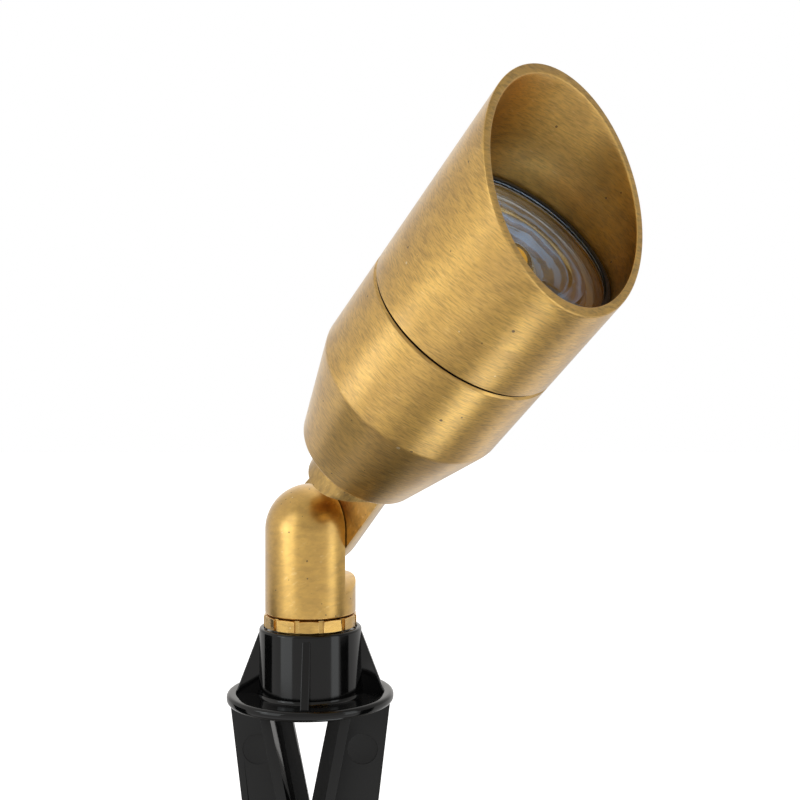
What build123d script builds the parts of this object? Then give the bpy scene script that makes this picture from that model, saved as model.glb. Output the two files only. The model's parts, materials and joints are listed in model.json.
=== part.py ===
from build123d import *
from math import atan, cos, pi, sin, sqrt
import os

# Garden spike spotlight: a brass bullet head on a lap-jointed brass knuckle, screwed into a moulded
# ground spike. Millimetres. The origin is on the spike's axis at the underside of its flange, which is
# the ground line, +Z is up and the lamp aims towards +X and -Y.

# ---------------------------------------------------------------- aim of the stored pose
AIM_AZIMUTH = -49.1       # direction of aim about Z, from +X, degrees
AIM_TILT = 50.1           # tilt of the head from upright, degrees

# ---------------------------------------------------------------- clearances
THREAD_CLEARANCE = 0.07   # radial, shaft in its bore
MOVING_GAP = 0.3          # between faces that move on each other
SEAT_GAP = 0.05           # radial, fixed pin or stud in its hole

# ---------------------------------------------------------------- ground spike
FLANGE_RADIUS = 26.3
FLANGE_RIM_WIDTH = 3.1
FLANGE_RIM_HEIGHT = 3.1
FLANGE_PLATE_THICKNESS = 2.3
FLANGE_ROUND = 1.2
HUB_RADIUS = 16.15
HUB_TOP = 23.4
HUB_ROUND = 0.8
HUB_FOOT_ROUND = 1.2
HUB_MOUTH_RADIUS = 14.7   # shallow recess under the lock nut
HUB_MOUTH_DEPTH = 1.2
GUSSET_THICKNESS = 2.6
GUSSET_DROP = 1.6         # below the hub's top
SPIKE_LENGTH = 212.0      # below the flange
SPIKE_POINT_LENGTH = 8.0
WEB_THICKNESS = 3.2
WEB_TOP_HALF_WIDTH = 25.3
WEB_TIP_HALF_WIDTH = 1.3
FIN_TOP_HALF_DEPTH = 20.5
FIN_TIP_HALF_DEPTH = 1.3
FORK_TOP_HALF_GAP = 10.6  # between the inner faces of the two fork plates, at the flange
FORK_PLATE_WIDTH = 3.0
FORK_JOIN_DEPTH = 55.8    # where their inner faces meet
FIN_THICKNESS = 3.2
WINDOW_TOP_HALF_WIDTH = 6.8
WINDOW_DEPTH = 34.0
EJECTOR_RADIUS = 4.75     # round marks that the mould's pins leave on the web
EJECTOR_RECESS = 0.2
EJECTOR_OFFSET = 16.5
EJECTOR_DEPTH = 15.3

# ---------------------------------------------------------------- knuckle
KNUCKLE_RADIUS = 14.29
KNUCKLE_EDGE = 0.5
PIVOT_RISE = 27.85        # from the lower knuckle's foot to the pivot
STEM_RADIUS = 10.35       # 1/2 in parallel pipe thread
STEM_BOTTOM = 6.0
STEM_BORE_RADIUS = 5.5    # wire way
STEM_BORE_RISE = 8.15     # of its end, above the knuckle's foot
DOME_SETBACK = 1.55       # from the pivot back to the centre of the lower arm's rounded end
LOWER_FACE_OFFSET = 3.0   # lap face from the lower knuckle's axis
LOWER_SHOULDER_START = 16.3  # from the pivot down to the lower shoulder's crown
UPPER_AXIS_OFFSET = 2.1   # upper knuckle's axis from the lower one's, along the pivot
UPPER_DOME_SETBACK = 1.95
UPPER_TAPER = 0.062       # loss of radius for each mm towards the head
SHOULDER_RADIUS = 22.5    # crown of both shoulders, which face the laps
SHOULDER_START = 20.6     # the upper crown's nearest point to the pivot, along the head's axis
SHOULDER_SHIFT = 5.0      # the upper crown's middle, towards the back of the head
CHAMBER_RADIUS = 8.2      # round wire chamber in each lap face
CHAMBER_BOSS_RADIUS = 4.6
LOWER_CHAMBER_DEPTH = 6.5
UPPER_CHAMBER_DEPTH = 5.5
ARM_WIREWAY_RADIUS = 3.6
ARM_WIREWAY_OFFSET = 3.0
SEAL_INNER_RADIUS = 9.3
SEAL_WIDTH = 1.8
SEAL_DEPTH = 1.5
SCREW_RADIUS = 3.0        # M6
SCREW_HOLE_CLEARANCE = 0.3
SCREW_ENGAGEMENT = 11.0   # in the lower arm, from its lap face
SCREW_FLOOR = 2.8         # brass under the screw's washer
SCREW_HEAD_RADIUS = 5.0
SCREW_HEAD_HEIGHT = 3.4
SCREW_SOCKET_FLATS = 4.0
WASHER_RADIUS = 5.3
WASHER_THICKNESS = 1.2
COUNTERBORE_RADIUS = 5.7

# ---------------------------------------------------------------- lock nut
NUT_RADIUS = 15.0
NUT_HEIGHT = 3.85
NUT_LUGS = 12
NUT_NOTCH_WIDTH = 1.5
NUT_NOTCH_DEPTH = 0.9
NUT_TURN = 17.6           # of a notch from +X, degrees
NUT_EDGE = 0.4

# ---------------------------------------------------------------- head, along its axis from the pivot
HEAD_AXIS_OFFSET = -2.2   # head's axis from the lower knuckle's, along the pivot
HOUSING_BACK = 37.0
HOUSING_BACK_RADIUS = 19.3
HOUSING_BACK_ROUND = 1.4
CONE_FRONT = 68.3
CONE_ROUND = 5.0
HEAD_RADIUS = 28.25
SEAM = 96.15              # rear edge of the cap
SEAM_GAP = 0.8
SEAM_CHAMFER = 0.6
FLOOR_THICKNESS = 7.0
CONE_WALL = 2.4
SPIGOT_RADIUS = 25.75
SPIGOT_LENGTH = 10.5
SPIGOT_BORE_RADIUS = 23.4
CAP_CENTRE = 140.8        # slanted rim's centre
CAP_SLOPE = 0.54          # rise of the rim for each mm across
CAP_BORE_RADIUS = 26.0
STUD_RADIUS = 6.5
STUD_LENGTH = 14.0
STUD_BORE_RADIUS = 3.6
STUD_BORE_OVERRUN = 0.6   # past the cross bore
CROSS_BORE_HEIGHT = 27.0
CROSS_BORE_RADIUS = 2.7
NECK_NUT_FLATS = 19.0
NECK_NUT_HEIGHT = 4.0
RING_SECTION_RADIUS = 1.0 # housing O-ring
RING_SETBACK = 1.4        # from the housing's shoulder to the ring's groove

# ---------------------------------------------------------------- lens and lamp
LENS_FRONT = 122.9
LENS_THICKNESS = 3.0
LENS_RADIUS = 25.0
LENS_EDGE = 0.4
GASKET_LIP = 0.6          # thickness of the gasket's lips over the glass
GASKET_LIP_REACH = 0.6
GASKET_SIDE_GAP = 0.15
LAMP_RADIUS = 24.8
LAMP_SIDE_CLEARANCE = 0.4
LAMP_FRONT_GAP = 0.4      # behind the gasket
LAMP_LENGTH = 45.0
BEZEL_WIDTH = 2.0
BEZEL_THICKNESS = 1.6
OPTIC_THICKNESS = 2.2
OPTIC_RECESS = 0.2        # below the bezel's front
OPTIC_CUP_RADIUS = 8.5
OPTIC_CUP_DEPTH = 2.4
BOARD_RADIUS = 12.0
BOARD_THICKNESS = 1.6
CHIP_SIZE = 5.0
CHIP_THICKNESS = 1.0
SINK_LIP_THICKNESS = 3.0
SINK_WAIST_RADIUS = 13.0
SINK_LENGTH = 27.0
SINK_FINS = 20
SINK_FIN_THICKNESS = 1.2
SINK_CORE_RADIUS = 10.0
SINK_FLOOR = 3.0          # metal behind the board
SINK_FIN_SETBACK = 2.4
BASE_RADIUS = 11.0
BASE_TIP_WIDTH = 15.0
BASE_TIP_DEPTH = 8.0
BASE_TIP_LENGTH = 7.0
PIN_SPACING = 5.3
PIN_RADIUS = 0.75
PIN_LENGTH = 6.5
HOLDER_WIDTH = 19.0
HOLDER_DEPTH = 10.0
HOLDER_HEIGHT = 9.0
CONTACT_LENGTH = 5.0
BRACKET_THICKNESS = 1.2
BRACKET_WIDTH = 10.0
BRACKET_HALF_SPAN = 12.6
FOOT_LENGTH = 5.4
SMALL_SCREW_RADIUS = 1.5
SMALL_SCREW_HEAD = 2.6
SMALL_SCREW_HEAD_HEIGHT = 1.8
SMALL_SCREW_LENGTH = 6.0
HOLDER_SCREW_SPACING = 14.0
WIRE_SEAL_HEAD = 1.8
WIRE_SEAL_PLUG = 4.0
LEAD_RADIUS = 0.9
LEAD_HALF_SPACING = 1.7

# ---------------------------------------------------------------- derived places
KNUCKLE_BOTTOM = HUB_TOP + MOVING_GAP + NUT_HEIGHT + MOVING_GAP
PIVOT_HEIGHT = KNUCKLE_BOTTOM + PIVOT_RISE
STEM_BORE_TOP = KNUCKLE_BOTTOM + STEM_BORE_RISE
UPPER_FACE = LOWER_FACE_OFFSET + MOVING_GAP - HEAD_AXIS_OFFSET  # from the head's axis
UPPER_AXIS = UPPER_AXIS_OFFSET - HEAD_AXIS_OFFSET               # from the head's axis
LOWER_FRAME = Rot(0, 0, AIM_AZIMUTH)
PIVOT_FRAME = LOWER_FRAME * Pos(0, 0, PIVOT_HEIGHT)
HEAD_FRAME = PIVOT_FRAME * Rot(0, AIM_TILT, 0) * Pos(0, HEAD_AXIS_OFFSET, 0)
HEAD_FLOOR = HOUSING_BACK + FLOOR_THICKNESS
SHOULDER_FACE = SEAM - SEAM_GAP
SPIGOT_END = SHOULDER_FACE + SPIGOT_LENGTH
LENS_BACK = LENS_FRONT - LENS_THICKNESS
GASKET_BACK = LENS_BACK - GASKET_LIP
LAMP_FRONT = GASKET_BACK - LAMP_FRONT_GAP
LAMP_BACK = LAMP_FRONT - LAMP_LENGTH
SINK_BACK = LAMP_FRONT - BEZEL_THICKNESS - SINK_LIP_THICKNESS - SINK_LENGTH
HOLDER_TOP = LAMP_BACK
HOLDER_BOTTOM = HOLDER_TOP - HOLDER_HEIGHT
SCREW_SEAT = UPPER_FACE + UPPER_CHAMBER_DEPTH + SCREW_FLOOR     # from the head's axis
HUB_BORE_RADIUS = STEM_RADIUS + THREAD_CLEARANCE
FAR = 400.0


def turned(points):
    """A solid turned about Z from its half section, given as (radius, height) points."""
    return revolve(Plane.XZ * make_face(Polyline(*points, close=True)), Axis.Z)


def rod(radius, bottom, top):
    """A round bar along Z."""
    return Pos(0, 0, bottom) * Cylinder(radius, top - bottom, align=(Align.CENTER, Align.CENTER, Align.MIN))


def cross_rod(radius, start, end, x=0.0, z=0.0):
    """A round bar along Y."""
    length = end - start
    return Pos(x, start + length / 2, z) * Rot(90, 0, 0) * Cylinder(radius, length)


def slab(x0, x1, y0, y1, z0, z1):
    """A block between two corners."""
    return Pos((x0 + x1) / 2, (y0 + y1) / 2, (z0 + z1) / 2) * Box(x1 - x0, y1 - y0, z1 - z0)


def domed_bar(radius, taper, end):
    """A round bar up from a rounded end whose centre is the origin. It loses taper in radius for each mm."""
    tilt = atan(taper)
    middle = (tilt - pi / 2) / 2
    foot = (radius * cos(tilt), radius * sin(tilt))
    tip = (0, -radius)
    dome = ThreePointArc(tip, (radius * cos(middle), radius * sin(middle)), foot)
    side = Polyline(foot, (foot[0] - taper * (end - foot[1]), end), (0, end), tip)
    return revolve(Plane.XZ * make_face(dome + side), Axis.Z)


def corner(outline, x, y):
    """The corner of an outline nearest to a place."""
    return outline.vertices().sort_by_distance((x, y))[0]


def side_plate(points, half_thickness):
    """A plate cut to an outline of (x, z) points and centred on Y = 0."""
    outline = Plane.XZ * make_face(Polyline(*points, close=True))
    return extrude(outline, amount=half_thickness, both=True)


# ---------------------------------------------------------------- ground spike
def blade_outline(top_half_width, tip_half_width):
    """A blade of the spike from the flange down to its point, seen square on."""
    shoulder = SPIKE_POINT_LENGTH - SPIKE_LENGTH
    return [(-top_half_width, 0), (-tip_half_width, shoulder), (0, -SPIKE_LENGTH),
            (tip_half_width, shoulder), (top_half_width, 0)]


def ground_spike():
    """The spike's head: a flange with a raised rim, and a threaded hub that four gussets brace."""
    plate_edge = FLANGE_RADIUS - FLANGE_RIM_WIDTH
    flange = make_face(Polyline(
        (0, 0), (FLANGE_RADIUS, 0), (FLANGE_RADIUS, FLANGE_RIM_HEIGHT), (plate_edge, FLANGE_RIM_HEIGHT),
        (plate_edge, FLANGE_PLATE_THICKNESS), (HUB_RADIUS, FLANGE_PLATE_THICKNESS),
        (HUB_RADIUS, HUB_TOP), (0, HUB_TOP), close=True))
    rim_corners = [v for v in flange.vertices() if v.X > plate_edge + FLANGE_RIM_WIDTH / 2]
    flange = fillet(rim_corners, FLANGE_ROUND)
    flange = fillet(corner(flange, HUB_RADIUS, HUB_TOP), HUB_ROUND)
    flange = fillet(corner(flange, HUB_RADIUS, FLANGE_PLATE_THICKNESS), HUB_FOOT_ROUND)
    top = revolve(Plane.XZ * flange, Axis.Z)
    root = HUB_RADIUS - HUB_ROUND
    toe = plate_edge + FLANGE_RIM_WIDTH / 8
    gusset_top = HUB_TOP - GUSSET_DROP
    gusset = side_plate([(root, FLANGE_PLATE_THICKNESS / 2), (toe, FLANGE_PLATE_THICKNESS / 2),
                         (toe, FLANGE_PLATE_THICKNESS), (HUB_RADIUS, gusset_top), (root, gusset_top)],
                        GUSSET_THICKNESS / 2)
    for quarter in range(4):
        top += Rot(0, 0, 90 * quarter) * gusset
    top -= rod(HUB_MOUTH_RADIUS, HUB_TOP - HUB_MOUTH_DEPTH, HUB_TOP + 1)
    return top - rod(HUB_BORE_RADIUS, -1, HUB_TOP)


def spike_blades():
    """The crossed blades under the flange. The fore-and-aft one forks so that the cable can come out."""
    web_outline = blade_outline(WEB_TOP_HALF_WIDTH, WEB_TIP_HALF_WIDTH)
    web = side_plate(web_outline, WEB_THICKNESS / 2)
    window = [(-WINDOW_TOP_HALF_WIDTH, 0), (0, -WINDOW_DEPTH), (WINDOW_TOP_HALF_WIDTH, 0)]
    web -= side_plate(window, WEB_THICKNESS)
    for side in (-1, 1):
        for face in (-1, 1):
            mark = cross_rod(EJECTOR_RADIUS, 0, EJECTOR_RECESS, side * EJECTOR_OFFSET, -EJECTOR_DEPTH)
            web -= Pos(0, face * WEB_THICKNESS / 2 - EJECTOR_RECESS * (face > 0), 0) * mark

    outer = FORK_TOP_HALF_GAP + FORK_PLATE_WIDTH
    slope = FORK_TOP_HALF_GAP / FORK_JOIN_DEPTH
    fork_foot = (outer - FIN_THICKNESS / 2) / slope
    half_fin = FIN_THICKNESS / 2
    fork = side_plate([
        (outer, 0), (half_fin, -fork_foot), (half_fin, -SPIKE_LENGTH), (-half_fin, -SPIKE_LENGTH),
        (-half_fin, -fork_foot), (-outer, 0), (-FORK_TOP_HALF_GAP, 0), (0, -FORK_JOIN_DEPTH),
        (FORK_TOP_HALF_GAP, 0)], FIN_TOP_HALF_DEPTH)
    fork &= Rot(0, 0, 90) * side_plate(blade_outline(FIN_TOP_HALF_DEPTH, FIN_TIP_HALF_DEPTH), FAR)
    fork &= side_plate(web_outline, FAR)
    return web + fork


def lock_nut():
    """A ring with flat sides, chamfered round both ends, and a notch for a spanner at each corner."""
    bottom = HUB_TOP + MOVING_GAP
    top = bottom + NUT_HEIGHT
    nut = rod(NUT_RADIUS, bottom, top)
    nut = chamfer(nut.edges().filter_by(GeomType.CIRCLE), NUT_EDGE)
    nut &= Pos(0, 0, bottom) * extrude(RegularPolygon(NUT_RADIUS, NUT_LUGS), amount=NUT_HEIGHT)
    notch = slab(NUT_RADIUS - NUT_NOTCH_DEPTH, NUT_RADIUS + NUT_NOTCH_DEPTH, -NUT_NOTCH_WIDTH / 2,
                 NUT_NOTCH_WIDTH / 2, bottom - 1, top + 1)
    for lug in range(NUT_LUGS):
        nut -= Rot(0, 0, 360 / NUT_LUGS * lug) * notch
    nut -= rod(HUB_BORE_RADIUS, bottom - 1, top + 1)
    return Rot(0, 0, NUT_TURN - AIM_AZIMUTH) * nut


# ---------------------------------------------------------------- knuckle
def lower_knuckle():
    """Made upright, with the pivot along Y."""
    dome_height = PIVOT_HEIGHT - DOME_SETBACK
    bar = domed_bar(KNUCKLE_RADIUS, 0, dome_height - KNUCKLE_BOTTOM)
    body = Pos(0, 0, dome_height) * Rot(180, 0, 0) * bar
    body = chamfer(body.edges().group_by(Axis.Z)[0], KNUCKLE_EDGE)
    lap = slab(-FAR / 4, FAR / 4, LOWER_FACE_OFFSET, FAR / 4, KNUCKLE_BOTTOM, FAR / 4)
    crown_height = PIVOT_HEIGHT - LOWER_SHOULDER_START
    body -= lap - cross_rod(SHOULDER_RADIUS, -FAR, FAR, 0, crown_height - SHOULDER_RADIUS)
    body += rod(STEM_RADIUS, STEM_BOTTOM, KNUCKLE_BOTTOM)
    body -= rod(STEM_BORE_RADIUS, STEM_BOTTOM - 1, STEM_BORE_TOP)
    body -= Pos(0, -ARM_WIREWAY_OFFSET, 0) * rod(ARM_WIREWAY_RADIUS, STEM_BORE_TOP - ARM_WIREWAY_RADIUS,
                                                 PIVOT_HEIGHT - CHAMBER_BOSS_RADIUS)
    face = LOWER_FACE_OFFSET
    chamber = cross_rod(CHAMBER_RADIUS, face - LOWER_CHAMBER_DEPTH, face, 0, PIVOT_HEIGHT)
    body -= chamber
    body += cross_rod(CHAMBER_BOSS_RADIUS, face - LOWER_CHAMBER_DEPTH - 1, face, 0, PIVOT_HEIGHT)
    groove = cross_rod(SEAL_INNER_RADIUS + SEAL_WIDTH, face - SEAL_DEPTH, face, 0, PIVOT_HEIGHT)
    body -= groove - cross_rod(SEAL_INNER_RADIUS, face - 2 * SEAL_DEPTH, face + 1, 0, PIVOT_HEIGHT)
    hole_end = face - SCREW_ENGAGEMENT - MOVING_GAP
    body -= cross_rod(SCREW_RADIUS + THREAD_CLEARANCE, hole_end, face + 1, 0, PIVOT_HEIGHT)
    return body


def knuckle_seal():
    """The ring pressed into the lower lap face's groove."""
    face = LOWER_FACE_OFFSET
    ring = cross_rod(SEAL_INNER_RADIUS + SEAL_WIDTH - SEAT_GAP, face - SEAL_DEPTH, face, 0, PIVOT_HEIGHT)
    ring -= cross_rod(SEAL_INNER_RADIUS + SEAT_GAP, face - 2 * SEAL_DEPTH, face + 1, 0, PIVOT_HEIGHT)
    return ring


def upper_knuckle():
    """Made along the head's axis, with the pivot along Y through the frame's origin."""
    bar = domed_bar(KNUCKLE_RADIUS, UPPER_TAPER, HOUSING_BACK - UPPER_DOME_SETBACK)
    body = Pos(0, UPPER_AXIS, UPPER_DOME_SETBACK) * bar
    lap = slab(-FAR / 4, FAR / 4, -FAR / 4, UPPER_FACE, -FAR / 4, FAR / 4)
    crown = cross_rod(SHOULDER_RADIUS, -FAR, FAR, -SHOULDER_SHIFT, SHOULDER_START + SHOULDER_RADIUS)
    body -= lap - crown
    body += rod(STUD_RADIUS, HOUSING_BACK - 1, HOUSING_BACK + STUD_LENGTH)

    face = UPPER_FACE
    body -= cross_rod(CHAMBER_RADIUS, face, face + UPPER_CHAMBER_DEPTH)
    body += cross_rod(CHAMBER_BOSS_RADIUS, face, face + UPPER_CHAMBER_DEPTH + 1)
    chamber_middle = face + UPPER_CHAMBER_DEPTH / 2
    body -= Pos(0, chamber_middle, 0) * rod(CROSS_BORE_RADIUS, CHAMBER_BOSS_RADIUS + 1, CROSS_BORE_HEIGHT)
    body -= cross_rod(CROSS_BORE_RADIUS, 0, chamber_middle, 0, CROSS_BORE_HEIGHT)
    body -= rod(STUD_BORE_RADIUS, CROSS_BORE_HEIGHT - CROSS_BORE_RADIUS - STUD_BORE_OVERRUN,
                HOUSING_BACK + STUD_LENGTH + 1)
    body -= cross_rod(SCREW_RADIUS + SCREW_HOLE_CLEARANCE, face - 1, SCREW_SEAT + 1)
    body -= cross_rod(COUNTERBORE_RADIUS, SCREW_SEAT, FAR / 4)
    return body


def pivot_screw():
    """Socket-head screw from the back of the upper arm into the lower one."""
    under_head = SCREW_SEAT + SEAT_GAP + WASHER_THICKNESS
    tip = UPPER_FACE - MOVING_GAP - SCREW_ENGAGEMENT
    screw = cross_rod(SCREW_RADIUS, tip, under_head + 1)
    screw += cross_rod(SCREW_HEAD_RADIUS, under_head, under_head + SCREW_HEAD_HEIGHT)
    hexagon = RegularPolygon(SCREW_SOCKET_FLATS / 2, 6, major_radius=False)
    key = extrude(Plane.XZ * hexagon, amount=SCREW_HEAD_HEIGHT)
    top = under_head + SCREW_HEAD_HEIGHT
    socket = Pos(0, top + SCREW_HEAD_HEIGHT * 0.4, 0) * key
    return screw - socket


def screw_washer():
    start = SCREW_SEAT + SEAT_GAP
    washer = cross_rod(WASHER_RADIUS, start, start + WASHER_THICKNESS)
    return washer - cross_rod(SCREW_RADIUS + SEAT_GAP, start - 1, start + WASHER_THICKNESS + 1)


# ---------------------------------------------------------------- head
def rear_housing():
    slope = (HEAD_RADIUS - HOUSING_BACK_RADIUS) / (CONE_FRONT - HOUSING_BACK)
    outline = make_face(Polyline(
        (0, HOUSING_BACK), (HOUSING_BACK_RADIUS, HOUSING_BACK), (HEAD_RADIUS, CONE_FRONT),
        (HEAD_RADIUS, SHOULDER_FACE), (SPIGOT_RADIUS, SHOULDER_FACE), (SPIGOT_RADIUS, SPIGOT_END),
        (0, SPIGOT_END), close=True))
    outline = fillet(corner(outline, HOUSING_BACK_RADIUS, HOUSING_BACK), HOUSING_BACK_ROUND)
    outline = fillet(corner(outline, HEAD_RADIUS, CONE_FRONT), CONE_ROUND)
    outline = chamfer(corner(outline, HEAD_RADIUS, SHOULDER_FACE), SEAM_CHAMFER)
    housing = revolve(Plane.XZ * outline, Axis.Z)
    wall = CONE_WALL * sqrt(1 + slope * slope)
    floor_radius = HOUSING_BACK_RADIUS + slope * FLOOR_THICKNESS - wall
    cone_end = HEAD_FLOOR + (SPIGOT_BORE_RADIUS - floor_radius) / slope
    housing -= turned([(0, HEAD_FLOOR), (floor_radius, HEAD_FLOOR), (SPIGOT_BORE_RADIUS, cone_end),
                       (SPIGOT_BORE_RADIUS, SPIGOT_END + 1), (0, SPIGOT_END + 1)])
    housing -= rod(STUD_RADIUS + SEAT_GAP, HOUSING_BACK - 1, HEAD_FLOOR + 1)
    ring_middle = SHOULDER_FACE + RING_SETBACK
    groove = turned([(SPIGOT_RADIUS - RING_SECTION_RADIUS, ring_middle - RING_SECTION_RADIUS),
                     (SPIGOT_RADIUS + 1, ring_middle - RING_SECTION_RADIUS),
                     (SPIGOT_RADIUS + 1, ring_middle + RING_SECTION_RADIUS),
                     (SPIGOT_RADIUS - RING_SECTION_RADIUS, ring_middle + RING_SECTION_RADIUS)])
    housing -= groove
    foot_middle = BRACKET_HALF_SPAN + FOOT_LENGTH / 2
    hole_end = HEAD_FLOOR + BRACKET_THICKNESS - SMALL_SCREW_LENGTH
    screw_hole = rod(SMALL_SCREW_RADIUS + SEAT_GAP, hole_end, HEAD_FLOOR + 1)
    for side in (-1, 1):
        housing -= Pos(side * foot_middle, 0, 0) * screw_hole
    return housing


def housing_o_ring():
    ring_middle = SHOULDER_FACE + RING_SETBACK
    centre = SPIGOT_RADIUS - RING_SECTION_RADIUS + SEAT_GAP + RING_SECTION_RADIUS * 0.95
    return Pos(0, 0, ring_middle) * Torus(centre, RING_SECTION_RADIUS * 0.95)


def glare_cap():
    bore_behind = LAMP_RADIUS + LAMP_SIDE_CLEARANCE
    thread_bore = SPIGOT_RADIUS + THREAD_CLEARANCE
    reach = CAP_CENTRE + CAP_SLOPE * HEAD_RADIUS + 5
    thread_end = SPIGOT_END + 1.5
    ring_end = SHOULDER_FACE + RING_SETBACK + RING_SECTION_RADIUS + MOVING_GAP
    cap = turned([
        (HEAD_RADIUS, SEAM), (HEAD_RADIUS, reach), (CAP_BORE_RADIUS, reach), (CAP_BORE_RADIUS, GASKET_BACK),
        (bore_behind, GASKET_BACK), (bore_behind, thread_end), (thread_bore, thread_end),
        (thread_bore, ring_end + 1), (SPIGOT_RADIUS + 1.3, ring_end), (SPIGOT_RADIUS + 1.3, SEAM)])
    side = 2 * HEAD_RADIUS
    drop = CAP_SLOPE * side
    return cap - side_plate([(-side, CAP_CENTRE + drop), (side, CAP_CENTRE - drop), (side, reach + drop),
                             (-side, reach + drop)], side)


def lens_glass():
    lens = rod(LENS_RADIUS, LENS_BACK, LENS_FRONT)
    return chamfer(lens.edges().filter_by(GeomType.CIRCLE), LENS_EDGE)


def lens_gasket():
    outside = CAP_BORE_RADIUS - GASKET_SIDE_GAP
    inside = LENS_RADIUS - GASKET_LIP_REACH
    front = LENS_FRONT + GASKET_LIP
    back = GASKET_BACK + SEAT_GAP
    return turned([(outside, back), (outside, front), (inside, front), (inside, LENS_FRONT),
                   (LENS_RADIUS, LENS_FRONT), (LENS_RADIUS, LENS_BACK), (inside, LENS_BACK), (inside, back)])


# ---------------------------------------------------------------- lamp
def lamp_bezel():
    bottom = LAMP_FRONT - BEZEL_THICKNESS
    ring = rod(LAMP_RADIUS, bottom, LAMP_FRONT)
    return ring - rod(LAMP_RADIUS - BEZEL_WIDTH, bottom - 1, LAMP_FRONT + 1)


def optic_plate_back():
    return LAMP_FRONT - OPTIC_RECESS - OPTIC_THICKNESS


def optic_back():
    return optic_plate_back() - OPTIC_CUP_DEPTH


def lamp_optic():
    """A flat front plate with a collimating cup behind its middle."""
    back = optic_plate_back()
    plate = rod(LAMP_RADIUS - BEZEL_WIDTH - SEAT_GAP, back, LAMP_FRONT - OPTIC_RECESS)
    cup = turned([(0, back + 1), (OPTIC_CUP_RADIUS, back + 1), (OPTIC_CUP_RADIUS, back),
                  (CHIP_SIZE, optic_back()), (0, optic_back())])
    pocket = turned([(0, optic_back()), (CHIP_SIZE * 0.85, optic_back()),
                     (CHIP_SIZE * 0.8, back), (0, back + OPTIC_THICKNESS / 4)])
    return plate + cup - pocket


def led_board():
    return rod(BOARD_RADIUS, optic_back() - BOARD_THICKNESS, optic_back())


def led_chip():
    return Pos(0, 0, optic_back() + CHIP_THICKNESS / 2) * Box(CHIP_SIZE, CHIP_SIZE, CHIP_THICKNESS)


def lamp_heat_sink():
    """Finned cup that carries the board, the optic and the bezel."""
    lip_top = LAMP_FRONT - BEZEL_THICKNESS
    lip_bottom = lip_top - SINK_LIP_THICKNESS
    board_bottom = optic_back() - BOARD_THICKNESS
    recess_radius = LAMP_RADIUS - BEZEL_WIDTH
    fin_radius = LAMP_RADIUS - SINK_FIN_SETBACK
    cup = turned([
        (0, SINK_BACK), (SINK_CORE_RADIUS, SINK_BACK), (SINK_CORE_RADIUS, board_bottom - SINK_FLOOR),
        (BOARD_RADIUS + SINK_FLOOR, board_bottom - SINK_FLOOR), (fin_radius, lip_bottom),
        (LAMP_RADIUS, lip_bottom), (LAMP_RADIUS, lip_top), (0, lip_top)])
    envelope = turned([(0, SINK_BACK), (SINK_WAIST_RADIUS, SINK_BACK), (fin_radius, board_bottom),
                       (fin_radius, lip_bottom), (0, lip_bottom)])
    fin = slab(SINK_CORE_RADIUS / 2, LAMP_RADIUS, -SINK_FIN_THICKNESS / 2, SINK_FIN_THICKNESS / 2,
               SINK_BACK, lip_bottom)
    fins = [Rot(0, 0, 360 / SINK_FINS * i) * fin for i in range(SINK_FINS)]
    pocket_radius = BOARD_RADIUS + SEAT_GAP
    hollow = turned([(0, board_bottom), (pocket_radius, board_bottom), (pocket_radius, optic_back()),
                     (recess_radius, optic_plate_back()), (recess_radius, lip_top + 1), (0, lip_top + 1)])
    return cup + (envelope & (Part() + fins)) - hollow


def lamp_base():
    base = turned([(0, SINK_BACK), (BASE_RADIUS, SINK_BACK), (BASE_RADIUS * 0.8, LAMP_BACK + BASE_TIP_LENGTH),
                   (0, LAMP_BACK + BASE_TIP_LENGTH)])
    tip = slab(-BASE_TIP_WIDTH / 2, BASE_TIP_WIDTH / 2, -BASE_TIP_DEPTH / 2, BASE_TIP_DEPTH / 2,
               LAMP_BACK, LAMP_BACK + BASE_TIP_LENGTH + 1)
    for side in (-1, 1):
        tip -= Pos(side * PIN_SPACING / 2, 0, 0) * rod(PIN_RADIUS + SEAT_GAP, LAMP_BACK - 1, LAMP_BACK + 3)
    return base + tip


def lamp_pins():
    return [Pos(side * PIN_SPACING / 2, 0, 0) * rod(PIN_RADIUS, LAMP_BACK - PIN_LENGTH, LAMP_BACK + 2.5)
            for side in (-1, 1)]


def lampholder():
    half_width = HOLDER_WIDTH / 2
    half_depth = HOLDER_DEPTH / 2
    holder = slab(-half_width, half_width, -half_depth, half_depth, HOLDER_BOTTOM, HOLDER_TOP)
    holder = fillet(holder.edges().filter_by(Axis.Z), HOLDER_DEPTH / 5)
    slot = slab(-PIN_RADIUS * 1.8, PIN_RADIUS * 1.8, -PIN_RADIUS * 2.2, PIN_RADIUS * 2.2,
                HOLDER_TOP - PIN_LENGTH - 0.5, HOLDER_TOP + 1)
    lead_hole = rod(LEAD_RADIUS + SEAT_GAP, HOLDER_BOTTOM - 1, HOLDER_TOP - PIN_LENGTH)
    screw_hole = rod(SMALL_SCREW_RADIUS + SEAT_GAP, HOLDER_BOTTOM - 1, HOLDER_TOP + 1)
    for side in (-1, 1):
        holder -= Pos(side * PIN_SPACING / 2, 0, 0) * (slot + lead_hole)
        holder -= Pos(side * HOLDER_SCREW_SPACING / 2, 0, 0) * screw_hole
    return holder


def holder_contacts():
    """Spring leaves that grip the lamp's pins."""
    leaves = []
    for side in (-1, 1):
        for face in (-1, 1):
            start = face * PIN_RADIUS
            end = face * (PIN_RADIUS + 0.5)
            leaf = slab(-PIN_RADIUS, PIN_RADIUS, min(start, end), max(start, end),
                        HOLDER_TOP - PIN_LENGTH, HOLDER_TOP - PIN_LENGTH + CONTACT_LENGTH)
            leaves.append(Pos(side * PIN_SPACING / 2, 0, 0) * leaf)
    return leaves


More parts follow.
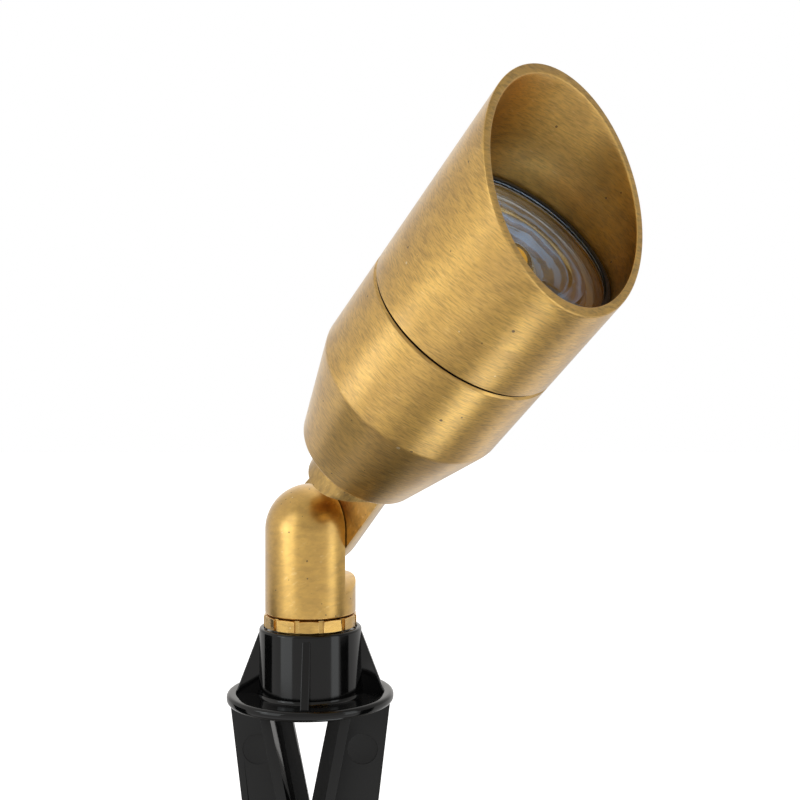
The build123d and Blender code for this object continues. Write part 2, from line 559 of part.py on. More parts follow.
def holder_bracket():
    """Strap that stands on the housing's floor and carries the lampholder."""
    half = BRACKET_WIDTH / 2
    top = HOLDER_BOTTOM
    inner = BRACKET_HALF_SPAN - BRACKET_THICKNESS
    strap = slab(-BRACKET_HALF_SPAN, BRACKET_HALF_SPAN, -half, half, top - BRACKET_THICKNESS, top)
    foot_hole = rod(SMALL_SCREW_RADIUS + SEAT_GAP, HEAD_FLOOR - 1, HEAD_FLOOR + 3)
    top_hole = rod(SMALL_SCREW_RADIUS + SEAT_GAP, top - 3, top + 1)
    for side in (-1, 1):
        low, high = sorted((side * inner, side * BRACKET_HALF_SPAN))
        strap += slab(low, high, -half, half, HEAD_FLOOR, top)
        low, high = sorted((side * inner, side * (BRACKET_HALF_SPAN + FOOT_LENGTH)))
        strap += slab(low, high, -half / 2, half / 2, HEAD_FLOOR, HEAD_FLOOR + BRACKET_THICKNESS)
        strap -= Pos(side * (BRACKET_HALF_SPAN + FOOT_LENGTH / 2), 0, 0) * foot_hole
        strap -= Pos(side * HOLDER_SCREW_SPACING / 2, 0, 0) * top_hole
    lead_slot = slab(-PIN_SPACING / 2 - 1.5, PIN_SPACING / 2 + 1.5, -1.6, 1.6, top - 3, top + 1)
    return strap - lead_slot


def small_screw(seat):
    """Pan-head screw pointing down through a seat at this height."""
    return rod(SMALL_SCREW_RADIUS, seat - SMALL_SCREW_LENGTH, seat + 0.5) + rod(
        SMALL_SCREW_HEAD, seat, seat + SMALL_SCREW_HEAD_HEIGHT)


def bracket_screws():
    middle = BRACKET_HALF_SPAN + FOOT_LENGTH / 2
    return [Pos(side * middle, 0, 0) * small_screw(HEAD_FLOOR + BRACKET_THICKNESS) for side in (-1, 1)]


def holder_screws():
    """From under the strap up into the lampholder."""
    screw = Pos(0, 0, HOLDER_BOTTOM - BRACKET_THICKNESS) * Rot(180, 0, 0) * small_screw(0)
    return [Pos(side * HOLDER_SCREW_SPACING / 2, 0, 0) * screw for side in (-1, 1)]


def neck_nut():
    """Hexagon nut that clamps the housing's floor to the knuckle's stud."""
    nut = extrude(Pos(0, 0, HEAD_FLOOR) * RegularPolygon(NECK_NUT_FLATS / 2, 6, major_radius=False),
                  amount=NECK_NUT_HEIGHT)
    return nut - rod(STUD_RADIUS + SEAT_GAP, HEAD_FLOOR - 1, HEAD_FLOOR + NECK_NUT_HEIGHT + 1)


def wire_seal():
    top = HOUSING_BACK + STUD_LENGTH
    seal = rod(STUD_BORE_RADIUS - SEAT_GAP, top - WIRE_SEAL_PLUG, top)
    seal += rod(STUD_RADIUS, top, top + WIRE_SEAL_HEAD)
    for side in (-1, 1):
        seal -= Pos(side * LEAD_HALF_SPACING, 0, 0) * rod(LEAD_RADIUS + SEAT_GAP, top - WIRE_SEAL_PLUG - 1,
                                                          top + WIRE_SEAL_HEAD + 1)
    return seal


def lampholder_leads():
    """The lampholder's own two wires, from its contacts to the seal in the neck."""
    bottom = HOUSING_BACK + STUD_LENGTH - WIRE_SEAL_PLUG
    seal_top = HOUSING_BACK + STUD_LENGTH + WIRE_SEAL_HEAD
    top = HOLDER_TOP - PIN_LENGTH
    leads = []
    for side in (-1, 1):
        near = side * LEAD_HALF_SPACING
        far = side * PIN_SPACING / 2
        start = seal_top + 1.5
        end = HOLDER_BOTTOM - BRACKET_THICKNESS - 1.5
        path = FilletPolyline((near, 0, bottom), (near, 0, start), (far, 0, end), (far, 0, top),
                              radius=3 * LEAD_RADIUS)
        profile = Plane(origin=(near, 0, bottom), z_dir=(0, 0, 1)) * Circle(LEAD_RADIUS)
        leads.append(sweep(profile, path=path))
    return leads


HEAD_NODES = {
    "upper_knuckle": upper_knuckle,
    "pivot_screw": pivot_screw,
    "screw_washer": screw_washer,
    "rear_housing": rear_housing,
    "housing_o_ring": housing_o_ring,
    "glare_cap": glare_cap,
    "lens_glass": lens_glass,
    "lens_gasket": lens_gasket,
    "lamp_bezel": lamp_bezel,
    "lamp_optic": lamp_optic,
    "led_board": led_board,
    "led_chip": led_chip,
    "lamp_heat_sink": lamp_heat_sink,
    "lamp_base": lamp_base,
    "lamp_pins": lamp_pins,
    "lampholder": lampholder,
    "holder_contacts": holder_contacts,
    "holder_bracket": holder_bracket,
    "bracket_screws": bracket_screws,
    "holder_screws": holder_screws,
    "neck_nut": neck_nut,
    "wire_seal": wire_seal,
    "lampholder_leads": lampholder_leads,
}
LOWER_NODES = {"lower_knuckle": lower_knuckle, "knuckle_seal": knuckle_seal, "lock_nut": lock_nut}
SPIKE_NODES = {"ground_spike": ground_spike, "spike_blades": spike_blades}


def write(name, shape, frame):
    solids = shape if isinstance(shape, list) else [shape]
    solids = [s for item in solids for s in (frame * item).solids()]
    node = solids[0] if len(solids) == 1 else Compound(children=solids)
    node.label = name
    export_step(node, f"parts/{name}.step")


os.makedirs("parts", exist_ok=True)
for frame, nodes in ((Location(), SPIKE_NODES), (LOWER_FRAME, LOWER_NODES), (HEAD_FRAME, HEAD_NODES)):
    for name, make in nodes.items():
        write(name, make(), frame)
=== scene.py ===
import bmesh
import bpy
import json
from math import asin, cos, pi, radians, sin, tan
from mathutils import Matrix, Vector


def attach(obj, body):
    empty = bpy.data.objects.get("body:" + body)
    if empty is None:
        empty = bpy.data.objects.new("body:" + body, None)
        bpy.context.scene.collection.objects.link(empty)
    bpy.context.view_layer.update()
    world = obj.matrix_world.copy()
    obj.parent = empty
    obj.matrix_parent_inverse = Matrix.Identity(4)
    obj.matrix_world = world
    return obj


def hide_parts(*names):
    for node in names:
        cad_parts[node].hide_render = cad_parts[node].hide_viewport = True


bl_info = {
    "name": "Garden Spike Spotlight",
    "version": (1, 0, 0),
    "blender": (4, 5, 0),
    "location": "3D View > Sidebar > Spotlight",
    "description": "Builds the visible pieces of a brass bullet spotlight on a ground spike",
    "category": "Add Mesh",
}

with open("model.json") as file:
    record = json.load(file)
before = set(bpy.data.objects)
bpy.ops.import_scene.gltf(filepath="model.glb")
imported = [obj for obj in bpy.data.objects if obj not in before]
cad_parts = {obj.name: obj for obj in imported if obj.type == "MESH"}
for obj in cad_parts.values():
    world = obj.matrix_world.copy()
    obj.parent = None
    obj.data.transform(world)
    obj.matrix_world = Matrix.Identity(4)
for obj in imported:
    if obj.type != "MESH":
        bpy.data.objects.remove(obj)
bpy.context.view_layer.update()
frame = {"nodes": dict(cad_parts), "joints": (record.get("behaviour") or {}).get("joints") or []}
MM = 0.001
JOINTS = {joint["name"]: joint for joint in frame["joints"]}

PIVOT = Vector(JOINTS["tilt"]["pos_m"])
PIVOT_AXIS = Vector(JOINTS["tilt"]["axis"]).normalized()
HEAD_AXIS = Vector(JOINTS["cap_turn"]["axis"]).normalized()
HEAD_ORIGIN = Vector(JOINTS["cap_turn"]["pos_m"])


def place(x_axis, y_axis, z_axis, origin):
    """A matrix with these axes at this origin."""
    turn = Matrix((x_axis, y_axis, z_axis)).transposed().to_4x4()
    return Matrix.Translation(origin) @ turn


UPRIGHT = Matrix.Identity(4)
LOWER_ARM = place(PIVOT_AXIS.cross(Vector((0, 0, 1))), PIVOT_AXIS, Vector((0, 0, 1)), Vector())
HEAD = place(PIVOT_AXIS.cross(HEAD_AXIS), PIVOT_AXIS, HEAD_AXIS, HEAD_ORIGIN)


def reach(node, where):
    """Lowest and highest corner of a CAD node in the axes of a place."""
    inverse = where.inverted()
    points = [inverse @ v.co for v in frame["nodes"][node].data.vertices]
    low = Vector(min(p[i] for p in points) for i in range(3))
    high = Vector(max(p[i] for p in points) for i in range(3))
    return low, high


# ---------------------------------------------------------------- sizes read from the frame
FLANGE_HIGH = reach("ground_spike", UPRIGHT)[1]
BLADES_LOW, BLADES_HIGH = reach("spike_blades", UPRIGHT)
NUT_LOW, NUT_HIGH = reach("lock_nut", UPRIGHT)
KNUCKLE_LOW = reach("lower_knuckle", LOWER_ARM)[0]
ARM_HIGH = reach("upper_knuckle", HEAD)[1]
HOUSING_LOW, HOUSING_HIGH = reach("rear_housing", HEAD)
CAP_LOW, CAP_HIGH = reach("glare_cap", HEAD)
GLASS_LOW, GLASS_HIGH = reach("lens_glass", HEAD)
GASKET_LOW, GASKET_HIGH = reach("lens_gasket", HEAD)
BEZEL_LOW, BEZEL_HIGH = reach("lamp_bezel", HEAD)
OPTIC_LOW, OPTIC_HIGH = reach("lamp_optic", HEAD)
CHIP_LOW, CHIP_HIGH = reach("led_chip", HEAD)
WASHER_LOW, WASHER_HIGH = reach("screw_washer", HEAD)
SCREW_LOW, SCREW_HIGH = reach("pivot_screw", HEAD)
HEAD_RADIUS = CAP_HIGH.y
KNUCKLE_RADIUS = -KNUCKLE_LOW.x

# ---------------------------------------------------------------- sizes of the visible forms, metres
FAR = 60 * MM                  # past every piece that a cutter goes through

FLANGE_RIM_WIDTH = 3.1 * MM
FLANGE_PLATE = 2.3 * MM
FLANGE_RIM = 3.1 * MM
FLANGE_ROUND = 1.2 * MM
HUB_RADIUS = 16.15 * MM
HUB_ROUND = 0.8 * MM
HUB_FOOT_ROUND = 1.2 * MM
HUB_MOUTH_RADIUS = 14.7 * MM
HUB_MOUTH_DEPTH = 1.2 * MM
HUB_BORE_RADIUS = 10.42 * MM
GUSSET_THICKNESS = 2.6 * MM
GUSSET_DROP = 1.6 * MM         # below the hub's top
GUSSET_OVERLAP = 0.4 * MM      # of its toe with the rim
GUSSET_ROOT_SHARE = 0.6        # its underside's height, as a share of the plate's
GUSSET_EDGE = 0.65 * MM
WEB_THICKNESS = 3.2 * MM
BLADE_POINT = 8.0 * MM
BLADE_TIP_HALF_WIDTH = 1.3 * MM
FIN_HALF_DEPTH = 20.5 * MM
FORK_HALF_GAP = 10.6 * MM
FORK_PLATE = 3.0 * MM
FORK_JOIN = 55.8 * MM
FORK_FACING = 0.9              # how squarely a face looks inwards to count as the fork's inner side
WINDOW_HALF_WIDTH = 6.8 * MM
WINDOW_DEPTH = 34.0 * MM
EJECTOR_RADIUS = 4.75 * MM
EJECTOR_RECESS = 0.12 * MM
EJECTOR_OFFSET = 16.5 * MM
EJECTOR_DEPTH = 15.3 * MM

NUT_LUGS = 12
NUT_RADIUS = 15.0 * MM
NUT_FOOT_CHAMFER = 0.7 * MM    # across; half of it up
NUT_TOP_CHAMFER = 1.0 * MM     # across; half of it down
NUT_NOTCH_WIDTH = 1.5 * MM
NUT_NOTCH_DEPTH = 0.9 * MM
NUT_TURN = radians(17.6)
NUT_EDGE = 0.16 * MM
NUT_EDGE_ANGLE = radians(28)

KNUCKLE_FOOT = 27.85 * MM
KNUCKLE_FOOT_ROUND = 0.5 * MM
KNUCKLE_FOOT_BAND = 2.0 * MM
STEM_RADIUS = 10.35 * MM
STEM_ROUND = 0.6 * MM
STEM_BORE_RADIUS = 5.5 * MM
STEM_BORE_TOP = 36.0 * MM
DOME_SETBACK = 1.55 * MM
DOME_STEPS = 40
SIDE_STEPS = 8                 # rings up the lower arm's straight side
TAPER_STEPS = 6                # rings up the upper arm's tapered side
LOWER_FACE = 3.0 * MM
LOWER_SHOULDER_START = 16.3 * MM
UPPER_FACE = 5.5 * MM
UPPER_AXIS = 4.3 * MM
UPPER_DOME_SETBACK = 1.95 * MM
UPPER_TAPER = 0.062
SHOULDER_RADIUS = 22.5 * MM
SHOULDER_START = 20.6 * MM
SHOULDER_SHIFT = 5.0 * MM
COUNTERBORE_RADIUS = 5.7 * MM
SEAT_GAP = 0.05 * MM           # between the washer and the counterbore's floor
STUD_RADIUS = 6.5 * MM
STUD_BORE_RADIUS = 3.6 * MM
STUD_SINK = MM                 # of the stud's root in the arm

WASHER_BORE_RADIUS = 3.1 * MM
SCREW_RADIUS = 3.0 * MM
SOCKET_CORNER_RADIUS = 2.31 * MM
SOCKET_DEPTH = 2.0 * MM
SOCKET_POINT_DEPTH = 2.4 * MM
KNURL_GROOVES = 36
KNURL_DEPTH = 0.12 * MM
KNURL_HALF_WIDTH = 0.16 * MM
KNURL_FOOT = 0.5 * MM          # from the underside of the screw's head
KNURL_DROP = 0.7 * MM          # below the top of the screw's head

HOUSING_BACK_RADIUS = 19.3 * MM
HOUSING_FLOOR = 7.0 * MM
CONE_FRONT = 68.3 * MM
SHOULDER_FACE = 95.35 * MM
SEAM_EDGE = 0.15 * MM
SPIGOT_RADIUS = 25.75 * MM
SPIGOT_RELIEF = 0.1 * MM       # of the spigot next to the shoulder
SPIGOT_BORE_RADIUS = 23.4 * MM
SPIGOT_BORE_LENGTH = 30.0 * MM
SPIGOT_END_ROUND = 0.3 * MM
RING_SETBACK = 1.4 * MM        # from the shoulder to the middle of the O-ring's groove
RING_HALF_WIDTH = 1.0 * MM
THREAD_PITCH = 2.0 * MM
THREAD_DEPTH = 0.7 * MM
THREAD_SINK = 0.05 * MM        # of the thread's root in the spigot
THREAD_FLANK = 0.72 * MM       # along the axis
THREAD_LAND = 0.30 * MM        # width of its crest
THREAD_END_GAP = 0.4 * MM
THREAD_STEPS = 96              # for one turn
THREAD_FADE_STEPS = 24         # over which it rises from the spigot at each end
THREAD_CLEARANCE = 0.07 * MM

RIM_CENTRE = 140.8 * MM
RIM_SLOPE = 0.54
CAP_BORE_RADIUS = 26.0 * MM
CAP_REAR_BORE_RADIUS = 25.2 * MM
CAP_MOUTH_CLEARANCE = 1.3 * MM  # round the spigot, at the seam
CAP_MOUTH_DEPTH = 3.2 * MM
CAP_MOUTH_STEP = 0.2 * MM
CAP_SEAM_ROUND = 0.25 * MM
CAP_THREAD_OVERRUN = 1.5 * MM  # past the spigot's end
CAP_OUTER_STRAIGHT = 4.0 * MM  # from the seam to where the outside starts to lean
CAP_INNER_STRAIGHT = 1.0 * MM  # from the gasket to where the bore starts to lean
CAP_OUTER_ROWS = 12
CAP_INNER_ROWS = 8

GLASS_EDGE = 0.4 * MM
GASKET_LIP_REACH = 0.6 * MM    # over the glass

BEZEL_WIDTH = 2.0 * MM
BEZEL_SLOPE_HEIGHT = 0.6 * MM  # of its inner edge
BEZEL_SLOPE_WIDTH = 0.5 * MM
# The optic's moulded steps as (radius, height, corner radius) in mm. The cup counts from its back, and the
# rest from its front.
OPTIC_CUP = ((0, 0.35), (3.6, 0.35), (4.4, 0, 0.2), (8.5, 1.5, 2.0))
OPTIC_UNDERSIDE = (15.2, -1.3, 1.0)
OPTIC_RIM_FOOT = -1.3
OPTIC_RIM_TOP = -0.7
OPTIC_RIM_ROUND = 0.2
OPTIC_FACE = ((19.6, -0.7, 0.3), (19.2, 0, 0.3), (15.6, 0, 0.5), (14.4, -0.7, 1.2), (9.5, -0.9, 2.0),
              (5.8, -2.0, 0.4), (5.6, -2.0), (0, -2.0))
OPTIC_LENS_RADIUS = 5.6 * MM
OPTIC_LENS_SPHERE = 8.8 * MM
OPTIC_LENS_STEPS = 12
REFLECTOR_GAP = 0.3 * MM       # behind the optic
REFLECTOR_INNER_RADIUS = 4.8 * MM
REFLECTOR_WIDTH = 10.6 * MM    # of its curved part
REFLECTOR_RISE = 3.0 * MM
REFLECTOR_CURVE = 1.8          # power of the curve that it rises by
REFLECTOR_STEPS = 24
REFLECTOR_RIM = ((20.6, 3.1), (21.0, 2.6))  # (radius, height) in mm
REFLECTOR_THICKNESS = 0.2 * MM
CHIP_RADIUS = 3.0 * MM
CHIP_EDGE = 0.15 * MM

# ---------------------------------------------------------------- angles over which an edge is sharp
SHARP_ANGLE = radians(35)
JOINED_SHARP_ANGLE = radians(40)
BEVELLED_SHARP_ANGLE = radians(50)
BEVEL_ANGLE = radians(32)
ON_AXIS = 1e-7                 # a radius below this is a point on the axis

# ---------------------------------------------------------------- studio
SENSOR_WIDTH = 36.0
CLIP_START = 0.01
CLIP_END = 50.0
LAMP_COLOUR = (0.93, 0.98, 1.0)
PART_MIDDLE = Vector((0.035, -0.045, 0.09))
HEAD_SIDE = Vector((0.05, -0.06, 0.12))
# A lamp's name, what it aims at, its direction and distance from there, its size, and its power's setting.
SOFTBOXES = (
    ("key_softbox", PART_MIDDLE, (-0.81, -0.58, 0.16), 0.62, (0.32, 0.56), "key_power"),
    ("fill_softbox", PART_MIDDLE, (0.87, -0.48, 0.06), 0.75, (0.26, 0.62), "fill_power"),
    ("side_softbox", HEAD_SIDE, (-0.962, -0.084, -0.259), 0.20, (0.055, 0.07), "side_power"),
    ("low_card", PART_MIDDLE, (0.16, -0.20, -0.97), 0.27, (0.10, 0.10), "low_power"),
)
# A black card's name, angle in degrees about Z and half width.
FLAGS = (("left_flag", -101, 0.056), ("right_flag", 83, 0.046))
FLAG_DISTANCE = 0.22
FLAG_HEIGHT = 0.16
# Level of the surroundings at an angle in degrees about Z: 0 is in front, negative is at the left.
SURROUND_RING = (
    (-155, 1.10), (-138, 0.75), (-115, 0.80), (-85, 0.90), (-70, 0.70), (-40, 0.62), (0, 0.62), (45, 0.62),
    (70, 0.42), (93, 0.42), (101, 0.55), (122, 0.60), (138, 0.75), (155, 1.25),
)
SURROUND_TINT = (1.0, 0.975, 0.94)
SURROUND_BEHIND = (1.25, 1.22, 1.17)
WHITE = (1.0, 1.0, 1.0)
FLOOR_HALF_SIZE = 6.0
FLOOR_GAP = 0.2 * MM           # below the spike's point
FLOOR_COLOUR = (0.40, 0.39, 0.38)
FLOOR_GLOW = 0.5               # as the camera sees it beside the part
FLOOR_GLOW_RISE = 0.6          # more of it where the floor runs into the backdrop
FLOOR_FADE = (0.30, 0.50)      # distances over which that rise comes
# The floor's glow in reflections: distances over which it comes and then fades a little, and the levels.
MIRRORED_RISE = (0.26, 0.44, 0.0, 0.66)
MIRRORED_FALL = (0.50, 0.80, 0.0, 0.25)

# ---------------------------------------------------------------- marks and colours of the finishes
ROUND_MARKS = (330.0, 330.0, 3000.0)  # scale of marks that run round the Z axis
SLANT_AXIS = (0.6, 0.8, 0.0)   # about which the crossing marks are turned
STRAIGHT_SHARE = 0.62          # of the marks that aren't slanted
SCRATCH_BRASS = (0.93, 0.68, 0.30)
PIT_BRASS = (0.10, 0.055, 0.02)
NICK_BRASS = (0.95, 0.75, 0.42)
# Paler brass on the edges: partly worn clean brass, partly painted highlight.
EDGE_WEAR_AND_HIGHLIGHT_BRASS = (0.95, 0.72, 0.34)
MARK_SHADE = 0.45              # of tarnish, in the dark marks
MARK_ROUGHNESS = 0.14
SATIN_LIFT = 2.2               # how much paler the blades are than the gloss flange
# Painted reflection on the lamp's reflector: the dark and pale colours of its rings.
REFLECTOR_PAINTED_DARK = (0.10, 0.15, 0.25)
REFLECTOR_PAINTED_GLINT = (0.42, 0.66, 1.0)
REFLECTOR_WARP = 4.5 * MM      # of its rings
REFLECTOR_RINGS = 1900.0       # radians for each metre of radius
REFLECTOR_FINE_RINGS = 5200.0


# ---------------------------------------------------------------- user's sizes and finishes
class SpotlightSizes(bpy.types.PropertyGroup):
    """Edge treatments that a maker would change."""
    cap_rim_round: bpy.props.FloatProperty(
        name="Cap rim round", description="Edge radius of the cap's slanted rim",
        default=0.35 * MM, unit="LENGTH")
    seam_chamfer: bpy.props.FloatProperty(
        name="Seam chamfer", description="Chamfer on the housing where it meets the cap",
        default=0.6 * MM, unit="LENGTH")
    cone_round: bpy.props.FloatProperty(
        name="Cone blend", description="Radius between the housing's cone and its barrel",
        default=5.0 * MM, unit="LENGTH")
    back_round: bpy.props.FloatProperty(
        name="Back edge round", description="Radius at the housing's rear edge",
        default=1.4 * MM, unit="LENGTH")
    knuckle_edge: bpy.props.FloatProperty(
        name="Knuckle edge", description="Broken edge of the lap joint's machined faces",
        default=0.22 * MM, unit="LENGTH")
    moulding_edge: bpy.props.FloatProperty(
        name="Moulding edge", description="Edge radius of the moulded spike",
        default=0.30 * MM, unit="LENGTH")


class SpotlightFinishes(bpy.types.PropertyGroup):
    """Colours and surface finishes."""
    brass: bpy.props.FloatVectorProperty(
        name="Brass", description="Colour of clean brass", default=(0.86, 0.52, 0.112),
        subtype="COLOR", size=3, min=0, max=1)
    tarnish: bpy.props.FloatVectorProperty(
        name="Tarnish", description="Colour of brass where it has dulled", default=(0.62, 0.36, 0.080),
        subtype="COLOR", size=3, min=0, max=1)
    plastic: bpy.props.FloatVectorProperty(
        name="Plastic", description="Colour of the moulded spike", default=(0.0022, 0.0023, 0.0025),
        subtype="COLOR", size=3, min=0, max=1)
    head_roughness: bpy.props.FloatProperty(
        name="Head roughness", description="Roughness of the brushed head", default=0.36, min=0, max=1,
        subtype="FACTOR")
    knuckle_roughness: bpy.props.FloatProperty(
        name="Knuckle roughness", description="Roughness of the turned knuckle", default=0.30, min=0, max=1,
        subtype="FACTOR")


class SpotlightStudio(bpy.types.PropertyGroup):
    """Camera and light."""
    lens: bpy.props.FloatProperty(
        name="Lens", description="Focal length on a 36 mm sensor", default=49.725, unit="CAMERA")
    camera_place: bpy.props.FloatVectorProperty(
        name="Camera", description="Camera's place, looking level along +Y",
        default=(28.35 * MM, -350.3 * MM, 94.88 * MM), subtype="TRANSLATION", size=3)
    surround: bpy.props.FloatProperty(
        name="Surround", description="Level of the surroundings as the metal sees them", default=0.80,
        min=0, max=2)
    key_power: bpy.props.FloatProperty(
        name="Key light", description="Power of the left softbox", default=0.62, unit="POWER")
    fill_power: bpy.props.FloatProperty(
        name="Fill light", description="Power of the right softbox", default=0.55, unit="POWER")
    side_power: bpy.props.FloatProperty(
        name="Side light", description="Power of the small softbox beside the head", default=0.019,
        unit="POWER")
    low_power: bpy.props.FloatProperty(
        name="Low light", description="Power of the card below the head", default=0.06, unit="POWER")


# ---------------------------------------------------------------- outlines and meshes
def rounded(corners, steps=6):
    """An outline of (r, z) points from corners given as (r, z) or (r, z, corner radius)."""
    points = []
    count = len(corners)
    for i, corner in enumerate(corners):
        here = Vector(corner[:2])
        radius = corner[2] if len(corner) > 2 else 0
        if not radius:
            points.append(tuple(here))
            continue
        back = (Vector(corners[i - 1][:2]) - here).normalized()
        on = (Vector(corners[(i + 1) % count][:2]) - here).normalized()
        half = back.angle(on) / 2
        centre = here + (back + on).normalized() * (radius / sin(half))
        start = here + back * (radius / tan(half)) - centre
        end = here + on * (radius / tan(half)) - centre
        sweep = start.angle_signed(end)
        for step in range(steps + 1):
            turn = Matrix.Rotation(-sweep * step / steps, 2)
            points.append(tuple(centre + turn @ start))
    return points


def finish_mesh(mesh, sharp=SHARP_ANGLE):
    """Shades a mesh smooth between its sharp edges."""
    mesh.shade_smooth()
    mesh.set_sharp_from_angle(angle=sharp)


def piece(name, verts, faces, where):
    """A new mesh object whose points are given in the axes of a place."""
    mesh = bpy.data.meshes.new(name)
    mesh.from_pydata(verts, [], faces)
    mesh.validate()
    finish_mesh(mesh)
    obj = bpy.data.objects.new(name, mesh)
    bpy.context.scene.collection.objects.link(obj)
    obj.matrix_world = where
    return obj


def turned(name, outline, where, segments=256, lean=None):
    """A closed outline of (r, z) points turned about Z. lean(r, z, angle) may move a point along Z."""
    verts, faces, rings = [], [], []
    for r, z in outline:
        if r < ON_AXIS:
            rings.append([len(verts)])
            verts.append((0, 0, z))
            continue
        rings.append(range(len(verts), len(verts) + segments))
        for i in range(segments):
            angle = 2 * pi * i / segments
            height = lean(r, z, angle) if lean else z
            verts.append((r * cos(angle), r * sin(angle), height))
    for first, second in zip(rings, rings[1:] + rings[:1]):
        for i in range(segments):
            j = (i + 1) % segments
            quad = [ring[k % len(ring)] for ring, k in ((first, i), (first, j), (second, j), (second, i))]
            corners = list(dict.fromkeys(quad))
            if len(corners) > 2:
                faces.append(corners)
    return piece(name, verts, faces, where)


def prism(name, outline, half_thickness, where, axis="Y"):
    """An outline of (a, z) points made into a plate, centred along the given axis."""
    count = len(outline)
    verts = []
    for side in (-half_thickness, half_thickness):
        for a, z in outline:
            verts.append((a, side, z) if axis == "Y" else (side, a, z))
    faces = [list(range(count)), list(range(2 * count - 1, count - 1, -1))]
    for i in range(count):
        j = (i + 1) % count
        faces.append([j, i, i + count, j + count])
    obj = piece(name, verts, faces, where)
    tidy_normals(obj)
    return obj


def tidy_normals(obj):
    """Turns every face outwards."""
    bm = bmesh.new()
    bm.from_mesh(obj.data)
    bmesh.ops.recalc_face_normals(bm, faces=bm.faces)
    bm.to_mesh(obj.data)
    bm.free()


def cross_bar(name, radius, start, end, x, z, where, segments=192):
    """A round bar along Y in the axes of a place."""
    local = where @ Matrix.Translation((x, start, z)) @ Matrix.Rotation(-pi / 2, 4, "X")
    length = end - start
    return turned(name, [(0, 0), (radius, 0), (radius, length), (0, length)], local, segments)


def block(name, low, high, where):
    """A box between two corners in the axes of a place."""
    outline = [(low[0], low[2]), (high[0], low[2]), (high[0], high[2]), (low[0], high[2])]
    middle = (low[1] + high[1]) / 2
    return prism(name, outline, (high[1] - low[1]) / 2, where @ Matrix.Translation((0, middle, 0)))


def bake(obj):
    """Replaces an object's mesh by the result of its modifiers."""
    graph = bpy.context.evaluated_depsgraph_get()
    mesh = bpy.data.meshes.new_from_object(obj.evaluated_get(graph))
    old = obj.data
    obj.modifiers.clear()
    obj.data = mesh
    bpy.data.meshes.remove(old)


def combine(obj, other, operation):
    """Cuts, joins or intersects obj with other, which is used up."""
    modifier = obj.modifiers.new("combine", "BOOLEAN")
    modifier.operation = operation
    modifier.solver = "EXACT"
    modifier.object = other
    bpy.context.view_layer.update()
    bake(obj)
    bpy.data.objects.remove(other)


def break_edges(obj, width, segments=3, angle=BEVEL_ANGLE):
    """Rounds the sharp edges."""
    bevel = obj.modifiers.new("edges", "BEVEL")
    bevel.width = width
    bevel.segments = segments
    bevel.limit_method = "ANGLE"
    bevel.angle_limit = angle
    bevel.use_clamp_overlap = True
    weighted = obj.modifiers.new("normals", "WEIGHTED_NORMAL")
    weighted.keep_sharp = True
    bpy.context.view_layer.update()
    bake(obj)
    finish_mesh(obj.data, BEVELLED_SHARP_ANGLE)


def join(target, others):
    """Adds other objects' meshes to target, in its own axes."""
    bm = bmesh.new()
    bm.from_mesh(target.data)
    inverse = target.matrix_world.inverted()
    for other in others:
        other.data.transform(inverse @ other.matrix_world)
        bm.from_mesh(other.data)
        bpy.data.objects.remove(other)
    bm.to_mesh(target.data)
    bm.free()
    finish_mesh(target.data, JOINED_SHARP_ANGLE)


def fit_out(obj, body, slot, material, *nodes):
    """Gives a piece its body, material and the CAD nodes that it stands for. The slot is not used."""
    obj.data.transform(obj.matrix_world)
    obj.matrix_world = UPRIGHT
    obj.data.materials.clear()
    obj.data.materials.append(material)
    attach(obj, body)
    if nodes:
        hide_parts(*nodes)


def vertex_radii(obj, face):
    """Distances of a face's corners from the piece's own Z axis."""
    return [obj.data.vertices[v].co.xy.length for v in face.vertices]


def vertex_heights(obj, face):
    """Heights of a face's corners along the piece's own Z axis."""
    return [obj.data.vertices[v].co.z for v in face.vertices]


def second_material(obj, material, chosen):
    """Adds a material and gives it to the faces whose flag is true."""
    obj.data.materials.append(material)
    index = len(obj.data.materials) - 1
    for face, flag in zip(obj.data.polygons, chosen):
        if flag:
            face.material_index = index


# ---------------------------------------------------------------- shader node groups
def new_group(name, inputs, outputs):
    """A shader node group with named sockets. Each socket is (name, kind, default)."""
    group = bpy.data.node_groups.new(name, "ShaderNodeTree")
    for title, kind, default in inputs:
        socket = group.interface.new_socket(title, in_out="INPUT", socket_type=kind)
        if default is not None:
            socket.default_value = default
    for title, kind in outputs:
        group.interface.new_socket(title, in_out="OUTPUT", socket_type=kind)
    return group, group.nodes.new("NodeGroupInput"), group.nodes.new("NodeGroupOutput")


def math_node(tree, operation, first, second=None, third=None, clamp=False):
    """A Math node fed by sockets or numbers. Returns its output."""
    node = tree.nodes.new("ShaderNodeMath")
    node.operation = operation
    node.use_clamp = clamp
    for socket, value in zip(node.inputs, (first, second, third)):
        if value is None:
            continue
        if isinstance(value, (int, float)):
            socket.default_value = value
        else:
            tree.links.new(value, socket)
    return node.outputs[0]


def remap(tree, value, low, high, to_low=0.0, to_high=1.0):
    """A clamped, smooth Map Range node. Returns its output."""
    node = tree.nodes.new("ShaderNodeMapRange")
    node.interpolation_type = "SMOOTHSTEP"
    tree.links.new(value, node.inputs["Value"])
    for title, number in (("From Min", low), ("From Max", high), ("To Min", to_low), ("To Max", to_high)):
        node.inputs[title].default_value = number
    return node.outputs["Result"]


def mix_colour(tree, share, first, second, blend="MIX"):
    """A colour Mix node fed by sockets or colours. Returns its output."""
    node = tree.nodes.new("ShaderNodeMix")
    node.data_type = "RGBA"
    node.blend_type = blend
    for title, value in (("Factor_Float", share), ("A_Color", first), ("B_Color", second)):
        socket = next(s for s in node.inputs if s.identifier == title)
        if isinstance(value, bpy.types.NodeSocket):
            tree.links.new(value, socket)
        else:
            socket.default_value = value if isinstance(value, float) else (*value[:3], 1.0)
    return next(s for s in node.outputs if s.identifier == "Result_Color")


